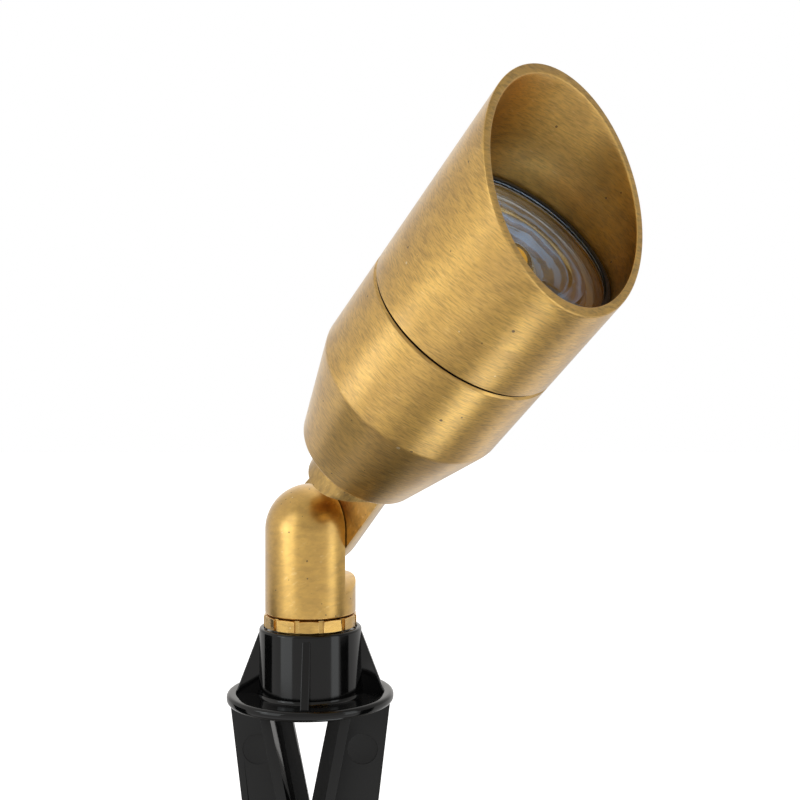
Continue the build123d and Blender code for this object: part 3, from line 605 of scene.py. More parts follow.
def stretched_noise(tree, vector, scale, detail=3.0, roughness=0.55, distortion=0.0):
    """Noise on a vector multiplied by a scale socket or an (x, y, z) tuple. Returns its value."""
    stretch = tree.nodes.new("ShaderNodeVectorMath")
    stretch.operation = "MULTIPLY"
    tree.links.new(vector, stretch.inputs[0])
    if isinstance(scale, tuple):
        stretch.inputs[1].default_value = scale
    else:
        tree.links.new(scale, stretch.inputs[1])
    noise = tree.nodes.new("ShaderNodeTexNoise")
    noise.inputs["Scale"].default_value = 1.0
    noise.inputs["Detail"].default_value = detail
    noise.inputs["Roughness"].default_value = roughness
    noise.inputs["Distortion"].default_value = distortion
    tree.links.new(stretch.outputs[0], noise.inputs["Vector"])
    return noise.outputs["Fac"]


def brushed_group():
    """Fine marks that run round the piece's own Z axis, with some that cross them at a slant."""
    group, sources, results = new_group("Brushed Marks", [
        ("Vector", "NodeSocketVector", None), ("Stretch", "NodeSocketVector", ROUND_MARKS),
        ("Slant", "NodeSocketFloat", 0.25)], [("Marks", "NodeSocketFloat"), ("Scratches", "NodeSocketFloat")])
    vector = sources.outputs["Vector"]
    stretch = sources.outputs["Stretch"]
    straight = stretched_noise(group, vector, stretch, 4.0, 0.6)
    turn = group.nodes.new("ShaderNodeVectorRotate")
    turn.rotation_type = "AXIS_ANGLE"
    turn.inputs["Axis"].default_value = SLANT_AXIS
    group.links.new(vector, turn.inputs["Vector"])
    group.links.new(sources.outputs["Slant"], turn.inputs["Angle"])
    slanted = stretched_noise(group, turn.outputs[0], stretch, 2.0, 0.5)
    both = math_node(group, "ADD", math_node(group, "MULTIPLY", straight, STRAIGHT_SHARE),
                     math_node(group, "MULTIPLY", slanted, 1 - STRAIGHT_SHARE))
    group.links.new(both, results.inputs["Marks"])
    group.links.new(remap(group, slanted, 0.64, 0.74), results.inputs["Scratches"])
    return group


def specks_group():
    """Small scattered pits."""
    group, sources, results = new_group("Pits", [
        ("Vector", "NodeSocketVector", None), ("Scale", "NodeSocketFloat", 300.0),
        ("Amount", "NodeSocketFloat", 0.12), ("Size", "NodeSocketFloat", 0.2)], [("Mask", "NodeSocketFloat")])
    cells = group.nodes.new("ShaderNodeTexVoronoi")
    group.links.new(sources.outputs["Vector"], cells.inputs["Vector"])
    group.links.new(sources.outputs["Scale"], cells.inputs["Scale"])
    split = group.nodes.new("ShaderNodeSeparateColor")
    group.links.new(cells.outputs["Color"], split.inputs[0])
    chosen = math_node(group, "LESS_THAN", split.outputs[0], sources.outputs["Amount"])
    spread = math_node(group, "ADD", split.outputs[1], 0.3)
    size = math_node(group, "MULTIPLY", sources.outputs["Size"], spread)
    inside = math_node(group, "LESS_THAN", cells.outputs["Distance"], size)
    group.links.new(math_node(group, "MULTIPLY", chosen, inside), results.inputs["Mask"])
    return group


def edge_group():
    """Where edges are, from how far a rounded normal leaves the true one."""
    group, sources, results = new_group("Edge Wear", [
        ("Radius", "NodeSocketFloat", 0.4 * MM), ("Gain", "NodeSocketFloat", 6.0)],
        [("Mask", "NodeSocketFloat")])
    bevel = group.nodes.new("ShaderNodeBevel")
    bevel.samples = 6
    group.links.new(sources.outputs["Radius"], bevel.inputs["Radius"])
    geometry = group.nodes.new("ShaderNodeNewGeometry")
    dot = group.nodes.new("ShaderNodeVectorMath")
    dot.operation = "DOT_PRODUCT"
    group.links.new(bevel.outputs[0], dot.inputs[0])
    group.links.new(geometry.outputs["Normal"], dot.inputs[1])
    away = math_node(group, "SUBTRACT", 1.0, dot.outputs["Value"])
    gained = math_node(group, "MULTIPLY", away, sources.outputs["Gain"], clamp=True)
    group.links.new(gained, results.inputs["Mask"])
    return group


GROUPS = {}


def group_node(tree, title, vector=None, **values):
    """Places a shared group in a material with its own values."""
    makers = {"Brushed Marks": brushed_group, "Pits": specks_group, "Edge Wear": edge_group}
    if title not in GROUPS:
        GROUPS[title] = makers[title]()
    node = tree.nodes.new("ShaderNodeGroup")
    node.node_tree = GROUPS[title]
    if vector is not None:
        tree.links.new(vector, node.inputs["Vector"])
    for name, value in values.items():
        node.inputs[name].default_value = value
    return node


# ---------------------------------------------------------------- materials
def new_material(name, **constants):
    """A material whose shader has these constant values. Returns it with its tree and shader."""
    material = bpy.data.materials.new(name)
    material.use_nodes = True
    tree = material.node_tree
    shader = tree.nodes["Principled BSDF"]
    for title, value in constants.items():
        shader.inputs[title.replace("_", " ")].default_value = value
    return material, tree, shader


def lay_vector(tree, where=UPRIGHT):
    """The piece's own coordinates, turned into the axes of a place."""
    source = tree.nodes.new("ShaderNodeTexCoord").outputs["Object"]
    turn = tree.nodes.new("ShaderNodeMapping")
    inverse = where.inverted()
    turn.inputs["Location"].default_value = inverse.translation
    turn.inputs["Rotation"].default_value = inverse.to_euler()
    tree.links.new(source, turn.inputs["Vector"])
    return turn.outputs[0]


def bump(tree, shader, height, strength, distance, under=None):
    """A Bump node on the shader, over the one under it if that is given. Returns its output."""
    node = tree.nodes.new("ShaderNodeBump")
    node.inputs["Strength"].default_value = strength
    node.inputs["Distance"].default_value = distance
    tree.links.new(height, node.inputs["Height"])
    if under is not None:
        tree.links.new(under, node.inputs["Normal"])
    tree.links.new(node.outputs[0], shader.inputs["Normal"])
    return node.outputs[0]


def tinted(tree, colour, mask, strength, over):
    """A colour with another laid over it where a mask is, at a strength."""
    return mix_colour(tree, math_node(tree, "MULTIPLY", mask, strength), colour, over)


def vary_roughness(tree, shader, value, spread, least):
    """Roughness that rises from the least by a spread times a value."""
    tree.links.new(math_node(tree, "MULTIPLY_ADD", value, spread, least), shader.inputs["Roughness"])


def brass(name, where, roughness, stretch, slant, mark_depth, dull=0.5, pits=0.1, pit_scale=420.0, shade=1.0,
          grain=0.42):
    """Raw brass: brushed marks, dulled patches, dark pits, bright nicks, and edges painted paler, partly as
    worn clean brass and partly as painted highlight.
    """
    looks = bpy.context.scene.spotlight_finishes
    # Shade scales the clean and dulled colours. The cap's inside uses it for painted light, and the lap uses
    # it for painted shade.
    clean = [c * shade for c in looks.brass]
    dulled = [c * shade for c in looks.tarnish]
    material, tree, shader = new_material(
        name, Metallic=1.0, Coat_Weight=1.0, Coat_Roughness=0.30, Coat_IOR=1.6)
    vector = lay_vector(tree, where)
    brushed = group_node(tree, "Brushed Marks", vector, Stretch=stretch, Slant=slant)
    marks = brushed.outputs["Marks"]
    specks = group_node(tree, "Pits", vector, Scale=pit_scale, Amount=pits, Size=0.16).outputs["Mask"]
    nicks = group_node(tree, "Pits", vector, Scale=pit_scale * 0.55, Amount=pits * 0.5, Size=0.10)
    edges = group_node(tree, "Edge Wear", Radius=0.35 * MM, Gain=5.0)
    patches = stretched_noise(tree, vector, (75.0, 75.0, 95.0), 5.0, 0.62, 0.8)
    clouds = stretched_noise(tree, vector, (240.0, 240.0, 420.0), 4.0, 0.6, 0.4)
    worn = math_node(tree, "MULTIPLY", remap(tree, patches, 0.38, 0.68), dull)
    colour = mix_colour(tree, worn, clean, dulled)
    colour = tinted(tree, colour, remap(tree, clouds, 0.40, 0.66), 0.50, dulled)
    colour = tinted(tree, colour, remap(tree, marks, 0.56, 0.36), grain, [c * MARK_SHADE for c in dulled])
    colour = tinted(tree, colour, brushed.outputs["Scratches"], 0.35, SCRATCH_BRASS)
    colour = tinted(tree, colour, specks, 0.7, PIT_BRASS)
    colour = tinted(tree, colour, nicks.outputs["Mask"], 0.8, NICK_BRASS)
    # Edges painted paler: partly worn clean brass, partly painted highlight on the rounded edges.
    colour = tinted(tree, colour, edges.outputs["Mask"], 0.6, EDGE_WEAR_AND_HIGHLIGHT_BRASS)
    tree.links.new(colour, shader.inputs["Base Color"])
    rough = math_node(tree, "MULTIPLY_ADD", worn, 0.10, roughness)
    least = math_node(tree, "SUBTRACT", rough, MARK_ROUGHNESS / 2)
    rough = math_node(tree, "MULTIPLY_ADD", marks, MARK_ROUGHNESS, least)
    vary_roughness(tree, shader, specks, 0.3, rough)
    grained = bump(tree, shader, marks, 1.0, mark_depth)
    pitted = math_node(tree, "SUBTRACT", 1.0, specks)
    bump(tree, shader, pitted, 0.5, 0.03 * MM, grained)
    return material


def moulded(name, colour, roughness, grain):
    """Injection-moulded plastic with a faint orange peel, dust and light rubs on its edges."""
    material, tree, shader = new_material(name, IOR=1.47)
    vector = lay_vector(tree)
    peel = stretched_noise(tree, vector, (420.0, 420.0, 420.0), 2.0)
    cloud = stretched_noise(tree, vector, (38.0, 38.0, 38.0), 4.0, 0.6)
    edges = group_node(tree, "Edge Wear", Radius=0.5 * MM, Gain=3.0)
    pale = [min(1.0, c * 1.8 + 0.004) for c in colour]
    base = tinted(tree, colour, remap(tree, cloud, 0.4, 0.75), 0.35, pale)
    base = tinted(tree, base, edges.outputs["Mask"], 0.35, pale)
    tree.links.new(base, shader.inputs["Base Color"])
    vary_roughness(tree, shader, cloud, 0.16, roughness - 0.08)
    bump(tree, shader, peel, 0.25, grain)
    return material


def plain_metal(name, colour, roughness):
    """Steel or aluminium with fine marks."""
    material, tree, shader = new_material(name, Metallic=1.0)
    vector = lay_vector(tree)
    brushed = group_node(tree, "Brushed Marks", vector, Stretch=(600.0, 600.0, 600.0), Slant=0.4)
    marks = brushed.outputs["Marks"]
    dark = [c * 0.7 for c in colour]
    tree.links.new(tinted(tree, colour, marks, 0.6, dark), shader.inputs["Base Color"])
    vary_roughness(tree, shader, marks, 0.15, roughness - 0.07)
    bump(tree, shader, marks, 0.5, 0.01 * MM)
    return material


def painted_reflector_rings(name):
    """The lamp's reflector with painted reflections: uneven grey and blue-white rings stand in for what its
    optic reflects and breaks up.
    """
    material, tree, shader = new_material(name, Metallic=0.25)
    vector = lay_vector(tree, HEAD)
    across = tree.nodes.new("ShaderNodeVectorMath")
    across.operation = "MULTIPLY"
    across.inputs[1].default_value = (1, 1, 0)
    tree.links.new(vector, across.inputs[0])
    length = tree.nodes.new("ShaderNodeVectorMath")
    length.operation = "LENGTH"
    tree.links.new(across.outputs[0], length.inputs[0])
    warp = stretched_noise(tree, vector, (95.0, 95.0, 95.0), 2.0, 0.5, 0.6)
    radius = math_node(tree, "MULTIPLY_ADD", warp, REFLECTOR_WARP, length.outputs["Value"])
    wave = math_node(tree, "SINE", math_node(tree, "MULTIPLY", radius, REFLECTOR_RINGS))
    fine = math_node(tree, "SINE", math_node(tree, "MULTIPLY", radius, REFLECTOR_FINE_RINGS))
    both = math_node(tree, "MULTIPLY_ADD", fine, 0.30, wave)
    share = remap(tree, both, -0.9, 0.9)
    rings = mix_colour(tree, share, REFLECTOR_PAINTED_DARK, REFLECTOR_PAINTED_GLINT)
    tree.links.new(rings, shader.inputs["Base Color"])
    vary_roughness(tree, shader, share, 0.2, 0.12)
    bump(tree, shader, both, 0.6, 0.15 * MM)
    return material


def soft_surface(name, colour, roughness, scale=900.0, glow=0.0):
    """Rubber, ceramic or paint: one colour, slightly clouded. A glow, where one is given, is painted light:
    the part shines by itself though it is no lit lamp.
    """
    material, tree, shader = new_material(name, Emission_Color=(*colour, 1), Emission_Strength=glow)
    vector = lay_vector(tree)
    cloud = stretched_noise(tree, vector, (scale, scale, scale), 3.0)
    dark = [c * 0.72 for c in colour]
    clouded = tinted(tree, colour, remap(tree, cloud, 0.35, 0.75), 0.6, dark)
    tree.links.new(clouded, shader.inputs["Base Color"])
    vary_roughness(tree, shader, cloud, 0.2, roughness - 0.1)
    bump(tree, shader, cloud, 0.3, 0.02 * MM)
    return material


def clear(name, ior, roughness, tint):
    """Clear glass or moulded plastic with a few smears. Light passes it to reach what lies behind."""
    material, tree, shader = new_material(name, Transmission_Weight=1.0, IOR=ior)
    vector = lay_vector(tree)
    smears = stretched_noise(tree, vector, (90.0, 90.0, 90.0), 5.0, 0.65, 1.2)
    vary_roughness(tree, shader, remap(tree, smears, 0.5, 0.8), 0.04, roughness)
    share = remap(tree, smears, 0.3, 0.8)
    tree.links.new(mix_colour(tree, share, tint, [c * 0.96 for c in tint]), shader.inputs["Base Color"])
    paths = tree.nodes.new("ShaderNodeLightPath")
    passing = tree.nodes.new("ShaderNodeBsdfTransparent")
    mix = tree.nodes.new("ShaderNodeMixShader")
    tree.links.new(math_node(tree, "MULTIPLY", paths.outputs["Is Shadow Ray"], 0.85), mix.inputs[0])
    tree.links.new(shader.outputs[0], mix.inputs[1])
    tree.links.new(passing.outputs[0], mix.inputs[2])
    tree.links.new(mix.outputs[0], tree.nodes["Material Output"].inputs["Surface"])
    return material


def finish_recipes():
    """Each finish's maker and the values that it is made with."""
    looks = bpy.context.scene.spotlight_finishes
    plastic = list(looks.plastic)
    satin = [c * SATIN_LIFT for c in plastic]
    return {
        "brushed brass head": (brass, dict(
            where=HEAD, roughness=looks.head_roughness, stretch=ROUND_MARKS, slant=0.32,
            mark_depth=0.012 * MM, grain=0.50)),
        # Painted light: the cap's inside is a lighter copy of the head's brass, at shade 1.05.
        "brushed brass inside": (brass, dict(
            where=HEAD, roughness=looks.head_roughness + 0.02, stretch=ROUND_MARKS, slant=0.4,
            mark_depth=0.014 * MM, dull=0.6, shade=1.05)),
        "turned brass knuckle": (brass, dict(
            where=UPRIGHT, roughness=looks.knuckle_roughness, stretch=(300.0, 300.0, 900.0), slant=0.5,
            mark_depth=0.003 * MM, dull=0.45, pits=0.16, pit_scale=700.0, grain=0.15)),
        # Painted shade: the upper arm's brass is darkened to shade 0.78 for the dark between the arms.
        "machined brass lap": (brass, dict(
            where=HEAD, roughness=0.30, stretch=(700.0, 1500.0, 260.0), slant=0.6,
            mark_depth=0.008 * MM, pits=0.08, pit_scale=600.0, shade=0.78, grain=0.4)),
        "machined brass nut": (brass, dict(
            where=UPRIGHT, roughness=0.24, stretch=(350.0, 350.0, 1500.0), slant=0.15,
            mark_depth=0.004 * MM, dull=0.35, pits=0.12, pit_scale=700.0, shade=0.92, grain=0.2)),
        "gloss black plastic": (moulded, dict(colour=plastic, roughness=0.11, grain=0.004 * MM)),
        "satin black plastic": (moulded, dict(colour=satin, roughness=0.42, grain=0.02 * MM)),
        "black card": (soft_surface, dict(colour=(0.004, 0.004, 0.004), roughness=0.9, scale=60.0)),
        "black rubber": (soft_surface, dict(colour=(0.006, 0.006, 0.0065), roughness=0.55)),
        # Painted shade: a near-black brown for the faces inside the seam gap, where shade falls between cap
        # and housing.
        "seam grime": (soft_surface, dict(colour=(0.010, 0.006, 0.003), roughness=0.6)),
        "stainless steel": (plain_metal, dict(colour=(0.60, 0.59, 0.57), roughness=0.30)),
        "bare aluminium": (plain_metal, dict(colour=(0.70, 0.71, 0.72), roughness=0.38)),
        # Painted reflection: grey and blue-white rings in the reflector's colour.
        "faceted reflector": (painted_reflector_rings, {}),
        "dark lamp body": (soft_surface, dict(colour=(0.035, 0.036, 0.038), roughness=0.34)),
        "white solder mask": (soft_surface, dict(colour=(0.80, 0.80, 0.78), roughness=0.4)),
        # Painted light: the chip glows by itself, though the lamp is not lit.
        "yellow phosphor": (soft_surface, dict(colour=(0.90, 0.40, 0.025), roughness=0.5, glow=0.5)),
        "cream ceramic": (soft_surface, dict(colour=(0.76, 0.72, 0.62), roughness=0.3)),
        "white silicone": (soft_surface, dict(colour=(0.72, 0.71, 0.67), roughness=0.45)),
        "lens glass": (clear, dict(ior=1.50, roughness=0.01, tint=(0.92, 0.96, 0.98))),
        "clear optic": (clear, dict(ior=1.49, roughness=0.02, tint=(0.86, 0.94, 1.0))),
    }


MATERIALS = {}


def finish_of(name):
    """The material of this name, made when it is first asked for."""
    if name not in MATERIALS:
        maker, values = finish_recipes()[name]
        MATERIALS[name] = maker(name, **values)
    return MATERIALS[name]


# ---------------------------------------------------------------- operators
class SPOTLIGHT_OT_stage(bpy.types.Operator):
    """Makes the camera, the floor, the backdrop's light and the studio lamps"""
    bl_idname = "spotlight.stage"
    bl_label = "Stage"

    def execute(self, context):
        studio = context.scene.spotlight_studio
        camera = bpy.data.objects.new("camera", bpy.data.cameras.new("camera"))
        context.scene.collection.objects.link(camera)
        camera.data.sensor_width = SENSOR_WIDTH
        camera.data.lens = studio.lens
        camera.data.clip_start = CLIP_START
        camera.data.clip_end = CLIP_END
        camera.location = studio.camera_place
        camera.rotation_euler = (pi / 2, 0, 0)
        context.scene.camera = camera
        context.scene.view_settings.view_transform = "Standard"
        self.world(context, studio)
        self.floor()
        for name, degrees, half_width in FLAGS:
            self.flag(name, degrees, half_width)
        for name, aim, direction, distance, size, setting in SOFTBOXES:
            self.softbox(context, name, aim, direction, distance, size, getattr(studio, setting))
        return {"FINISHED"}

    def seen_straight(self, tree, paths):
        """One for rays from the camera and through the glass, and zero for reflections."""
        through = paths.outputs["Is Transmission Ray"]
        return math_node(tree, "MAXIMUM", paths.outputs["Is Camera Ray"], through)

    def world(self, context, studio):
        """A white backdrop, and a ring of paler and darker surroundings for the metal to mirror."""
        world = bpy.data.worlds.new("surround")
        world.use_nodes = True
        context.scene.world = world
        tree = world.node_tree
        shade = tree.nodes["Background"]
        seen = self.seen_straight(tree, tree.nodes.new("ShaderNodeLightPath"))
        direction = tree.nodes.new("ShaderNodeSeparateXYZ")
        tree.links.new(tree.nodes.new("ShaderNodeTexCoord").outputs["Generated"], direction.inputs[0])
        toward_camera = math_node(tree, "MULTIPLY", direction.outputs["Y"], -1.0)
        azimuth = math_node(tree, "ARCTAN2", direction.outputs["X"], toward_camera)
        room = tree.nodes.new("ShaderNodeValToRGB")
        tree.links.new(math_node(tree, "MULTIPLY_ADD", azimuth, 0.5 / pi, 0.5), room.inputs[0])
        stops = room.color_ramp.elements
        for stop, position in zip(stops, (0.0, 1.0)):
            stop.position = position
            stop.color = (*SURROUND_BEHIND, 1)
        for degrees, level in SURROUND_RING:
            colour = [level * part for part in SURROUND_TINT]
            stops.new(degrees / 360 + 0.5).color = (*colour, 1)
        dimmed = mix_colour(tree, 1.0, room.outputs[0], (studio.surround,) * 3, "MULTIPLY")
        tree.links.new(mix_colour(tree, seen, dimmed, WHITE), shade.inputs["Color"])
        shade.inputs["Strength"].default_value = 1.0

    def floor(self):
        """A pale floor that runs into the white backdrop and glows a little in reflections."""
        height = BLADES_LOW.z - FLOOR_GAP
        size = FLOOR_HALF_SIZE
        corners = [(-size, -size, height), (size, -size, height), (size, size, height), (-size, size, height)]
        floor = piece("floor", corners, [(0, 1, 2, 3)], UPRIGHT)
        material, tree, shader = new_material("pale floor", Roughness=0.9, Specular_IOR_Level=0.1)
        shader.inputs["Base Color"].default_value = (*FLOOR_COLOUR, 1)
        paths = tree.nodes.new("ShaderNodeLightPath")
        seen = self.seen_straight(tree, paths)
        from_centre = tree.nodes.new("ShaderNodeVectorMath")
        from_centre.operation = "LENGTH"
        tree.links.new(tree.nodes.new("ShaderNodeTexCoord").outputs["Object"], from_centre.inputs[0])
        distance = from_centre.outputs["Value"]
        faded = remap(tree, distance, *FLOOR_FADE)
        faded = math_node(tree, "MULTIPLY_ADD", faded, FLOOR_GLOW_RISE, FLOOR_GLOW)
        straight = math_node(tree, "MULTIPLY", seen, faded)
        near = remap(tree, distance, *MIRRORED_RISE)
        distant = remap(tree, distance, *MIRRORED_FALL)
        mirrored = math_node(tree, "MULTIPLY", paths.outputs["Is Glossy Ray"],
                             math_node(tree, "SUBTRACT", near, distant))
        glow = tree.nodes.new("ShaderNodeEmission")
        tree.links.new(math_node(tree, "MAXIMUM", straight, mirrored), glow.inputs["Strength"])
        both = tree.nodes.new("ShaderNodeAddShader")
        tree.links.new(shader.outputs[0], both.inputs[0])
        tree.links.new(glow.outputs[0], both.inputs[1])
        tree.links.new(both.outputs[0], tree.nodes["Material Output"].inputs["Surface"])
        floor.data.materials.append(material)

    def flag(self, name, degrees, half_width):
        """A black card beside the spike, which the gloss black plastic mirrors as a dark line."""
        foot = -FLAG_HEIGHT
        outline = [(-half_width, foot), (half_width, foot), (half_width, 0.0), (-half_width, 0.0)]
        where = Matrix.Rotation(radians(degrees), 4, "Z") @ Matrix.Translation((0, -FLAG_DISTANCE, 0))
        card = prism(name, outline, MM, where)
        card.data.materials.append(finish_of("black card"))
        card.visible_camera = False

    def softbox(self, context, name, aim, direction, distance, size, power):
        """A lamp that the camera doesn't see, at a distance from its aim."""
        data = bpy.data.lights.new(name, "AREA")
        data.shape = "RECTANGLE"
        data.size, data.size_y = size
        data.energy = power
        data.color = LAMP_COLOUR
        lamp = bpy.data.objects.new(name, data)
        context.scene.collection.objects.link(lamp)
        away = Vector(direction).normalized()
        lamp.location = aim + away * distance
        lamp.rotation_euler = away.to_track_quat("Z", "Y").to_euler()
        lamp.visible_camera = False


class SPOTLIGHT_OT_spike(bpy.types.Operator):
    """Makes the moulded spike: flange, hub and gussets, and the crossed blades"""
    bl_idname = "spotlight.spike"
    bl_label = "Ground spike"

    def execute(self, context):
        sizes = context.scene.spotlight_sizes
        rim = FLANGE_HIGH.x
        plate_edge = rim - FLANGE_RIM_WIDTH
        hub_top = FLANGE_HIGH.z
        mouth_floor = hub_top - HUB_MOUTH_DEPTH
        collar = turned("spike_collar", rounded([
            (HUB_BORE_RADIUS, 0, 0.3 * MM), (rim, 0, FLANGE_ROUND), (rim, FLANGE_RIM, FLANGE_ROUND),
            (plate_edge, FLANGE_RIM, 0.5 * MM), (plate_edge, FLANGE_PLATE, 0.3 * MM),
            (HUB_RADIUS, FLANGE_PLATE, HUB_FOOT_ROUND), (HUB_RADIUS, hub_top, HUB_ROUND),
            (HUB_MOUTH_RADIUS, hub_top, 0.25 * MM), (HUB_MOUTH_RADIUS, mouth_floor, 0.2 * MM),
            (HUB_BORE_RADIUS, mouth_floor, 0.3 * MM)]), UPRIGHT)
        root = HUB_RADIUS - HUB_ROUND
        toe = plate_edge + GUSSET_OVERLAP
        underside = FLANGE_PLATE * GUSSET_ROOT_SHARE
        gusset_top = hub_top - GUSSET_DROP
        gussets = []
        for quarter in range(4):
            turn = Matrix.Rotation(quarter * pi / 2, 4, "Z")
            gusset = prism("gusset", [
                (root, underside), (toe, underside), (toe, FLANGE_PLATE),
                (HUB_RADIUS, gusset_top), (root, gusset_top)], GUSSET_THICKNESS / 2, turn)
            break_edges(gusset, GUSSET_EDGE, segments=4)
            gussets.append(gusset)
        join(collar, gussets)
        fit_out(collar, "spike", "black_nylon", finish_of("gloss black plastic"), "ground_spike")

        blades = self.blades()
        break_edges(blades, sizes.moulding_edge)
        fit_out(blades, "spike", "black_nylon", finish_of("satin black plastic"), "spike_blades")
        fork_inside = [
            face.center.z > -FORK_JOIN and face.normal.x * face.center.x < -FORK_FACING * abs(face.center.x)
            for face in blades.data.polygons]
        second_material(blades, finish_of("gloss black plastic"), fork_inside)
        return {"FINISHED"}

    def blades(self):
        """The crossed blades as one mesh, with the window, the ejector marks and the fork."""
        depth = BLADES_LOW.z
        shoulder = depth + BLADE_POINT
        tip = BLADE_TIP_HALF_WIDTH
        side = BLADES_HIGH.x
        web_outline = [(-side, 0), (-tip, shoulder), (0, depth), (tip, shoulder), (side, 0)]
        fin = FIN_HALF_DEPTH
        fin_outline = [(-fin, 0), (-tip, shoulder), (0, depth), (tip, shoulder), (fin, 0)]
        half = WEB_THICKNESS / 2
        web = prism("spike_blades", web_outline, half, UPRIGHT)
        lift = MM
        mouth = WINDOW_HALF_WIDTH + lift * WINDOW_HALF_WIDTH / WINDOW_DEPTH
        window = prism("window", [(-mouth, lift), (0, -WINDOW_DEPTH), (mouth, lift)], FAR, UPRIGHT)
        combine(web, window, "DIFFERENCE")
        for x in (-1, 1):
            for y in (-1, 1):
                inner, outer = sorted((y * (half - EJECTOR_RECESS), y * WEB_THICKNESS))
                mark = cross_bar("mark", EJECTOR_RADIUS, inner, outer, x * EJECTOR_OFFSET, -EJECTOR_DEPTH,
                                 UPRIGHT, segments=96)
                combine(web, mark, "DIFFERENCE")
        outer = FORK_HALF_GAP + FORK_PLATE
        foot = (outer - half) * FORK_JOIN / FORK_HALF_GAP
        fork = prism("fork", [
            (outer, 0), (half, -foot), (half, depth), (-half, depth), (-half, -foot), (-outer, 0),
            (-FORK_HALF_GAP, 0), (0, -FORK_JOIN), (FORK_HALF_GAP, 0)], FAR, UPRIGHT)
        combine(fork, prism("fin", fin_outline, FAR, UPRIGHT, "X"), "INTERSECT")
        combine(fork, prism("side", web_outline, FAR, UPRIGHT), "INTERSECT")
        combine(web, fork, "UNION")
        return web


class SPOTLIGHT_OT_lock_nut(bpy.types.Operator):
    """Makes the notched brass ring under the knuckle"""
    bl_idname = "spotlight.lock_nut"
    bl_label = "Lock nut"

    def execute(self, context):
        bottom, top = NUT_LOW.z, NUT_HIGH.z
        where = Matrix.Rotation(NUT_TURN, 4, "Z")
        nut = turned("lock_nut", [
            (HUB_BORE_RADIUS, bottom), (NUT_RADIUS - NUT_FOOT_CHAMFER, bottom),
            (NUT_RADIUS, bottom + NUT_FOOT_CHAMFER / 2), (NUT_RADIUS, top - NUT_TOP_CHAMFER / 2),
            (NUT_RADIUS - NUT_TOP_CHAMFER, top), (HUB_BORE_RADIUS, top)], where, segments=240)
        side = NUT_RADIUS - NUT_NOTCH_WIDTH / 2 * tan(pi / NUT_LUGS)
        root = NUT_RADIUS - NUT_NOTCH_DEPTH
        outline = []
        for lug in range(NUT_LUGS):
            turn = Matrix.Rotation(lug * 2 * pi / NUT_LUGS, 2)
            for x, y in ((side, -1), (root, -1), (root, 1), (side, 1)):
                outline.append(tuple(turn @ Vector((x, y * NUT_NOTCH_WIDTH / 2))))
        middle = Vector((0, 0, (bottom + top) / 2))
        flat = place(Vector((1, 0, 0)), Vector((0, 0, 1)), Vector((0, -1, 0)), middle)
        combine(nut, prism("notched", outline, top - bottom, where @ flat), "INTERSECT")
        break_edges(nut, NUT_EDGE, angle=NUT_EDGE_ANGLE)
        fit_out(nut, "nut", "nut_brass", finish_of("machined brass nut"), "lock_nut")
        return {"FINISHED"}


class SPOTLIGHT_OT_lower_knuckle(bpy.types.Operator):
    """Makes the stem and the lower arm of the lap joint"""
    bl_idname = "spotlight.lower_knuckle"
    bl_label = "Lower knuckle"

    def execute(self, context):
        sizes = context.scene.spotlight_sizes
        stem_end = KNUCKLE_LOW.z
        dome = PIVOT.z - DOME_SETBACK
        side = dome - KNUCKLE_FOOT
        band = KNUCKLE_FOOT + KNUCKLE_FOOT_BAND
        # The last corner only sets the direction of the one before it, so it is left off.
        outline = rounded([
            (0, STEM_BORE_TOP), (STEM_BORE_RADIUS, STEM_BORE_TOP), (STEM_BORE_RADIUS, stem_end),
            (STEM_RADIUS, stem_end, STEM_ROUND), (STEM_RADIUS, KNUCKLE_FOOT),
            (KNUCKLE_RADIUS, KNUCKLE_FOOT, KNUCKLE_FOOT_ROUND), (KNUCKLE_RADIUS, band), (0, band)])[:-1]
        outline += [(KNUCKLE_RADIUS, KNUCKLE_FOOT + side * i / SIDE_STEPS) for i in range(2, SIDE_STEPS)]
        for step in range(DOME_STEPS + 1):
            angle = pi / 2 * step / DOME_STEPS
            radius = KNUCKLE_RADIUS * cos(angle) * (step < DOME_STEPS)
            outline.append((radius, dome + KNUCKLE_RADIUS * sin(angle)))
        knuckle = turned("lower_knuckle", outline, LOWER_ARM, segments=320)
        lap = block("lap", (-FAR, LOWER_FACE, KNUCKLE_FOOT + MM), (FAR, FAR, 2 * FAR), LOWER_ARM)
        crown_height = PIVOT.z - LOWER_SHOULDER_START - SHOULDER_RADIUS
        crown = cross_bar("crown", SHOULDER_RADIUS, -2 * FAR, 2 * FAR, 0, crown_height, LOWER_ARM,
                          segments=320)
        combine(lap, crown, "DIFFERENCE")
        combine(knuckle, lap, "DIFFERENCE")
        break_edges(knuckle, sizes.knuckle_edge)
        fit_out(knuckle, "knuckle", "knuckle_brass", finish_of("turned brass knuckle"), "lower_knuckle")
        return {"FINISHED"}


